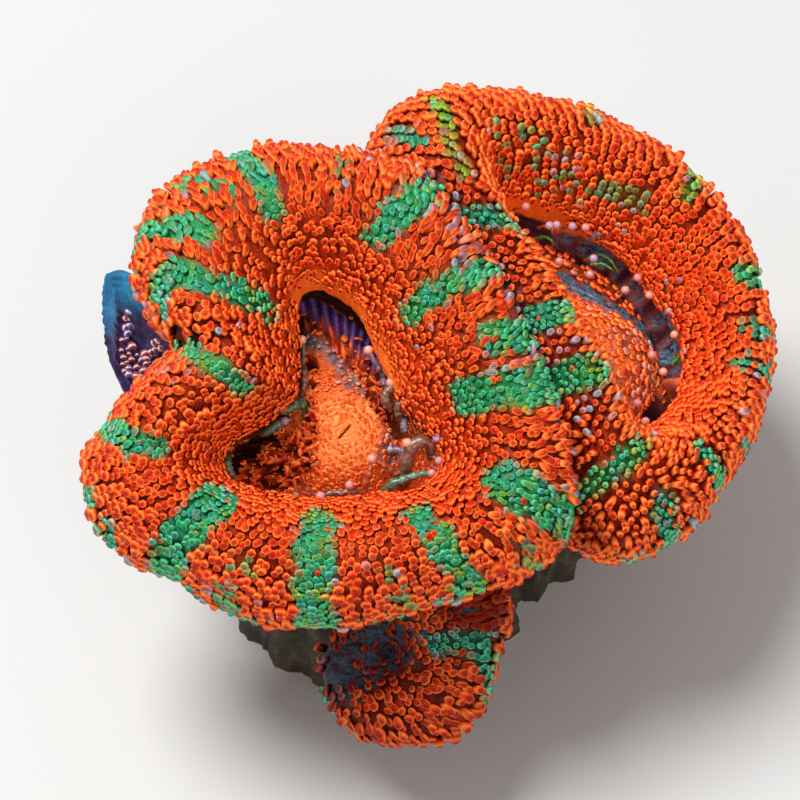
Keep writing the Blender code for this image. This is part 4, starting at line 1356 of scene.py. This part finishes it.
# the flaps in the folds are darkened with painted shade
flapLook = {
    **beadLook, "reach": 0.95, "girth": 0.44, "length": 0.44, "lean": (0, 50), "glow": 0.0,
    "flatness": 0.3, "dusk": 0.3, "darkest": 0.85, "where": "folds", "seed": 47,
}
rearBeadLook = {
    **beadLook, "clear": 0.3, "gap": 0.36, "girth": 0.39, "length": 0.36, "grey": 0.22, "glow": 0.25,
    "seed": 43,
}
rearBallLook = {
    **beadLook, "tries": 9000, "reach": 0.95, "gap": 0.37, "girth": 0.40, "length": 0.44, "grey": 0.12,
    "glow": 0.1, "darkest": 2.0, "where": "scatter", "seed": 53,
}
growBeads("front_beads", frontPolyp, frontPit, beadLook)
growBeads("front_flaps", frontPolyp, frontPit, flapLook)
growBeads("rear_beads", rearPolyp, rearPit, rearBeadLook)
growBeads("rear_balls", rearPolyp, rearPit, rearBallLook)


# The skeleton: each stem runs from its foot, below the cut, up to the seat of its polyp.
stems = {
    "trunk": {
        "polyp": frontPolyp, "foot": (-2.8, -3.4), "footRadii": (9.4, 8.4), "rings": 60, "around": 210,
    },
    "branch_rear": {
        "polyp": rearPolyp, "foot": (2.6, 0.8), "footRadii": (7.6, 6.6), "rings": 50, "around": 170,
    },
    "branch_bud": {
        "polyp": budPolyp, "foot": (-1.6, -3.8), "footRadii": (5.2, 4.6), "rings": 36, "around": 120,
    },
}
stemLook = {
    "edgeInset": 0.35, "waist": 0.16, "ribs": 16, "ribHeight": 0.6, "sawDepth": 3.0, "gap": 0.05,
    "costae": 64, "costaHeight": 0.14, "grit": 0.10, "swell": 0.12,
}


def stemPoints(stem):
    polyp = stem["polyp"]
    right, back, up = frameOf(polyp["axis"])
    angles = np.arange(stem["around"]) * turn / stem["around"]
    seat = polyp["seatShare"] * around(polyp["stations"], 2, angles) - stemLook["edgeInset"]
    out = np.outer(np.cos(angles), right) + np.outer(np.sin(angles), back)
    top = np.array(polyp["mouth"]) - up * (polyp["seatDepth"] + stemLook["gap"]) + out * seat[:, None]
    top = press(top, polyp["seamSide"])
    foot = np.array([
        stem["foot"][0] + stem["footRadii"][0] * np.cos(angles),
        stem["foot"][1] + stem["footRadii"][1] * np.sin(angles),
        np.full(stem["around"], -stemLook["sawDepth"]),
    ]).T
    rise = np.linspace(0, 1, stem["rings"])
    rings = foot[None] * (1 - rise)[:, None, None] + top[None] * rise[:, None, None]
    middle = rings.mean(axis=1, keepdims=True)
    spoke = (rings - middle) * (1 - stemLook["waist"] * np.sin(math.pi * rise))[:, None, None]
    reach = np.linalg.norm(spoke, axis=2, keepdims=True)
    fade = smooth(rise, 1.0, 0.85)[:, None]
    lift = fade * (0.5 * stemLook["ribHeight"] * np.cos(stemLook["ribs"] * angles) - 0.08)
    flat = (middle + spoke).reshape(-1, 3)
    # thin sharp ridges run up the stem, broken into teeth
    teeth = smooth(lumps(flat * (1, 1, 1.2), 0.5, 2.7), -0.6, 0.6).reshape(stem["rings"], -1)
    costae = np.abs(np.cos(0.5 * stemLook["costae"] * angles)) ** 3
    grit = lumps(flat, 0.35, 8.1).reshape(stem["rings"], -1)
    swell = lumps(flat, 2.6, 1.1).reshape(stem["rings"], -1)
    ridges = stemLook["costaHeight"] * costae * (0.4 + 0.6 * teeth)
    lift = lift + fade * (ridges + stemLook["grit"] * grit + stemLook["swell"] * swell)
    points = middle + spoke * (1 + lift[:, :, None] / reach)
    tissue = smooth(rise[:, None] + 0.10 * swell, 0.62, 0.78)
    return points, {"ridge": costae * teeth + 0 * lift, "tissue": tissue + 0 * lift}


def sawnOff(thing):
    # cuts the stem flat on the ground, and closes the cut
    bm = bmesh.new()
    bm.from_mesh(thing.data)
    shape = bm.verts[:] + bm.edges[:] + bm.faces[:]
    cut = bmesh.ops.bisect_plane(bm, geom=shape, plane_co=(0, 0, 0), plane_no=(0, 0, 1), clear_inner=True)
    edges = [e for e in cut["geom_cut"] if isinstance(e, bmesh.types.BMEdge)]
    capped = bmesh.ops.edgeloop_fill(bm, edges=edges)["faces"]
    bmesh.ops.triangulate(bm, faces=capped)
    bm.normal_update()
    bm.to_mesh(thing.data)
    bm.free()
    thing.data.set_sharp_from_angle(angle=math.radians(60))


def makeStoneMaterial():
    material, shader, start, place = newMaterial("living stone", 0.75, 0.05, 0.4)
    cloud = grain(place, 1.6, 5.0, 0.6)
    fine = grain(place, 0.22, 4.0, 0.6)
    ridge = shaderAttribute(start, "ridge")
    stone = ramp(clamp(cloud * 1.3 + (fine - 0.5) * 0.7 - 0.15 + ridge * 0.15),
                 (0.0, 20, 17, 12), (0.35, 46, 39, 27), (0.6, 74, 64, 45), (1.0, 132, 118, 92))
    crust = ramp(clamp(fine * 1.6 - 0.3), (0.0, 70, 30, 44), (1.0, 150, 84, 96))
    stone = blend(clamp(grain(place, 3.4, 3.0) * 5.0 - 3.0) * 0.7, stone, crust)
    # the tissue at the top of a stem is body wall, dark red-brown and painted darker still as shade under
    # the polyps
    flesh = ramp(clamp(cloud * 1.4 + (fine - 0.5) * 0.6 - 0.2),
                 (0.0, 34, 9, 8), (0.5, 84, 22, 16), (1.0, 132, 58, 42))
    colour = blend(shaderAttribute(start, "tissue"), stone, flesh)
    height = start.node("ShaderNodeSeparateXYZ", None, {0: place}, "Z")
    bare = ramp(clamp(grain(place, 0.5, 4.0) * 1.5 - 0.25), (0.0, 150, 140, 118), (1.0, 232, 226, 210))
    colour = blend(clamp(1.5 - height * 40), colour, bare)
    finishShader(start, shader, colour, fine + cloud * 0.7, 0.6)
    return material


stoneMaterial = makeStoneMaterial()


def makeStem(name):
    print("skeleton", name)
    points, masks = stemPoints(stems[name])
    masks = {key: values[::-1] for key, values in masks.items()}
    stem = shell(name + "_rock", points[::-1], masks, stoneMaterial)
    sawnOff(stem)
    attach(stem, "root")
    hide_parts(name)


for name in stems:
    makeStem(name)


# The leaf of old wall: (centre, half width, thickness) up its middle line.
leafShape = (
    ((-6.6, -1.0, 4.0), 3.4, 4.0), ((-11.4, 1.0, 10.2), 4.0, 2.6), ((-15.4, 2.8, 14.4), 4.6, 1.7),
    ((-17.2, 3.6, 16.4), 4.4, 1.3), ((-18.2, 3.9, 17.9), 3.0, 0.9),
)
leafLook = {"across": (-0.1, 0.99, 0.1), "rings": 84, "around": 84, "septa": 11}


def leafPoints():
    across = unit(leafLook["across"])
    knots = np.array([[*centre, half, thick] for centre, half, thick in leafShape])[:, None, :]
    rise = np.linspace(0, 1, leafLook["rings"])
    line = np.array([along(knots, np.array([share]))[0] for share in rise])
    ahead = unit(np.gradient(line[:, :3], axis=0))
    through = unit(np.cross(ahead, across))
    angles = np.arange(leafLook["around"]) * turn / leafLook["around"]
    side = np.cos(angles)[None, :]
    half = line[:, 3:4] * (1 - 0.05 * smooth(rise, 0.5, 1.0)[:, None] * (1 + np.sin(side * 9)))
    thick = line[:, 4:5] * 0.46
    base = line[:, None, :3] + across * (half * side)[:, :, None]
    base = base + through[:, None, :] * (thick * np.sin(angles))[:, :, None]
    flat = base.reshape(-1, 3)
    wander = 0.02 * lumps(flat, 2.0).reshape(base.shape[:2])
    septa = np.abs(np.cos(leafLook["septa"] * 0.5 * turn * (side * 0.5 + wander)))
    grit = lumps(flat, 0.5, 3.3).reshape(base.shape[:2])
    lift = (0.12 * septa**4 + 0.07 * grit) * np.sin(angles)
    points = base + through[:, None, :] * lift[:, :, None]
    rise = rise[:, None]
    edge = smooth(side, 0.0, 0.6) * smooth(rise, 0.55, 0.8)
    edge = np.maximum(edge, 0.6 * smooth(rise, 0.95, 0.985) * smooth(side, -0.7, 0.1))
    return points, {"septa": septa**2, "edge": edge, "height": rise + 0 * side}


def makeWallMaterial():
    material, shader, start, place = newMaterial("old wall", 0.55, 0.06, 0.3)
    shader.inputs["Specular IOR Level"].default_value = 0.2
    cloud = grain(place, 1.1, 5.0, 0.6)
    fine = grain(place, 0.18, 4.0)
    level = clamp(cloud * 1.2 + (fine - 0.5) * 0.6 - 0.1 + shaderAttribute(start, "septa") * 0.12)
    membrane = ramp(level, (0.0, 10, 5, 22), (0.4, 38, 16, 50), (0.7, 54, 38, 84), (1.0, 70, 104, 160))
    rim = ramp(level, (0.0, 0, 66, 100), (0.5, 0, 126, 176), (1.0, 40, 176, 220))
    rock = ramp(level, (0.0, 28, 16, 20), (0.5, 66, 44, 48), (1.0, 120, 92, 90))
    height = shaderAttribute(start, "height")
    colour = blend(clamp(height * 5 - 1.9 + (cloud - 0.5) * 1.5), rock, membrane)
    ridge = clamp(shaderAttribute(start, "septa") * 7 - 6) * clamp(height * 4 - 2)
    colour = blend(ridge * 0.6, colour, tone(40, 110, 180))
    colour = blend(clamp(shaderAttribute(start, "edge") + (cloud - 0.62) * 0.9), colour, rim)
    # painted light: the leaf glows a little by emission, to lift it out of its shade
    shader.inputs["Emission Strength"].default_value = 0.22
    start.tree.links.new(colour.socket, shader.inputs["Emission Color"])
    finishShader(start, shader, colour, fine + cloud * 0.5, 0.5)
    return material


def makeVesicleMaterial():
    material, shader, start, place = newMaterial("vesicles", 0.25, 0.4, 0.12)
    shader.inputs["Emission Strength"].default_value = 0.4
    # painted light: by how its surface faces, each vesicle gets a bright rim as a painted highlight and a
    # dark middle, and it glows by emission
    level = clamp(shaderAttribute(start, "crown") * 0.5 + 0.5)
    pink = ramp(level, (0.0, 24, 10, 22), (0.5, 128, 76, 84), (0.66, 255, 196, 184),
                (0.78, 140, 80, 88), (1.0, 58, 30, 50))
    blue = ramp(level, (0.0, 10, 12, 34), (0.5, 70, 84, 130), (0.66, 184, 202, 240),
                (0.78, 84, 100, 150), (1.0, 34, 38, 78))
    colour = blend(clamp(shaderAttribute(start, "tint") * 3 - 1.8), pink, blue)
    start.tree.links.new(colour.socket, shader.inputs["Emission Color"])
    finishShader(start, shader, colour, grain(place, 0.12, 2.0), 0.2)
    return material


def makeOldWall():
    print("old wall")
    points, masks = leafPoints()
    masks = {key: values[::-1] for key, values in masks.items()}
    leafPiece = shell("old_wall_leaf", points[::-1], masks, makeWallMaterial())
    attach(leafPiece, "root")
    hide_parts("old_wall")
    growVesicles(points, vesicleLook)


# Places on the leaf are shares of its rings, and of the way round.
vesicleLook = {
    "tries": 1300, "rings": (0.42, 0.93), "around": (0.50, 0.86), "middle": 0.675, "half": 0.065,
    "ragged": 0.05, "gap": 0.29, "most": 330, "size": (0.30, 0.56), "seed": 61,
}


def growVesicles(points, look):
    # a foam of clear vesicles on the side that faces the polyp
    random = np.random.default_rng(look["seed"])
    rings, count = points.shape[:2]
    rows = random.integers(int(rings * look["rings"][0]), int(rings * look["rings"][1]), look["tries"])
    columns = random.integers(int(count * look["around"][0]), int(count * look["around"][1]), look["tries"])
    half = look["half"] + look["ragged"] * lumps(points[rows, columns], 1.1, 4.1)
    foamy = np.abs(columns / count - look["middle"]) < half
    rows, columns = rows[foamy], columns[foamy]
    spots = points[rows, columns]
    middle = points[rows].mean(axis=1)
    kept = keepApart(spots, np.full(len(spots), look["gap"]))[:look["most"]]
    way = unit(spots[kept] - middle[kept])
    size = random.uniform(*look["size"], len(kept))
    tint = random.random(len(kept))
    masks = {"lean": way, "skinWay": way, "wide": size, "tall": size, "tint": tint}
    seeds = pointMesh("vesicles", spots[kept], [], masks)
    values = {"Segments": 8, "Rings": 6, "Girth": mm, "Length": mm, "Sink": 0.35, "Flatness": 1.0,
              "Variation": 0.25, "Warp": 0.2 * mm, "Warp scale": 1 / mm, "Seed": look["seed"],
              "Material": makeVesicleMaterial()}
    vesicles = grow("vesicles", seeds, knobNodes, values)
    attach(vesicles, "root")


makeOldWall()


def makeStage():
    material, shader, start, place = newMaterial("pale floor", 0.6)
    colour = ramp(grain(place, 60.0, 2.0), (0.0, 226, 226, 224), (1.0, 234, 234, 232))
    finishShader(start, shader, colour)
    bm = bmesh.new()
    bmesh.ops.create_circle(bm, cap_ends=True, segments=96, radius=1.5)
    bmesh.ops.translate(bm, verts=bm.verts, vec=(0, 0, -0.02 * mm))
    mesh = bpy.data.meshes.new("floor")
    bm.to_mesh(mesh)
    bm.free()
    mesh.materials.append(material)
    floor = bpy.data.objects.new("floor", mesh)
    bpy.context.scene.collection.objects.link(floor)


def makeWorld(strength):
    world = bpy.data.worlds.new("studio")
    world.use_nodes = True
    tree = world.node_tree
    start = Wire(tree)
    background = tree.nodes["Background"]
    background.inputs["Color"].default_value = (0.86, 0.87, 0.88, 1)
    path = start.node("ShaderNodeLightPath", None, None, "Is Camera Ray")
    glossy = Wire(tree, path.socket.node.outputs["Is Glossy Ray"])
    through = Wire(tree, path.socket.node.outputs["Is Transmission Ray"])
    seen = clamp(path + glossy + through)
    level = seen * (1 - strength) + strength
    tree.links.new(level.socket, background.inputs["Strength"])
    bpy.context.scene.world = world


aim = (-0.002, -0.0004, 0.016)  # what the lamps and the camera point at, in metres


def addLamp(name, place, size, watts):
    data = bpy.data.lights.new(name, "AREA")
    data.shape = "DISK"
    data.size = size
    data.energy = watts
    lamp = bpy.data.objects.new(name, data)
    lamp.location = place
    lamp.rotation_euler = (Vector(aim) - Vector(place)).to_track_quat("-Z", "Y").to_euler()
    bpy.context.scene.collection.objects.link(lamp)


cameraLook = {"elevation": 57, "distance": 0.170, "lens": 137.8}


def makeCamera(look):
    data = bpy.data.cameras.new("camera")
    data.lens = look["lens"]
    data.sensor_width = 36
    data.clip_start = 0.005
    data.clip_end = 10
    camera = bpy.data.objects.new("camera", data)
    tilt = math.radians(look["elevation"])
    camera.location = Vector(aim) + look["distance"] * Vector((0, -math.cos(tilt), math.sin(tilt)))
    camera.rotation_euler = (math.radians(90) - tilt, 0, 0)
    bpy.context.scene.collection.objects.link(camera)
    bpy.context.scene.camera = camera


print("floor, light and camera")
makeStage()
makeWorld(0.32)
addLamp("key", (-0.12, 0.06, 0.34), 0.16, 1.15)
addLamp("fill", (0.22, -0.26, 0.26), 0.24, 0.22)
makeCamera(cameraLook)
bpy.context.scene.view_settings.view_transform = "Standard"
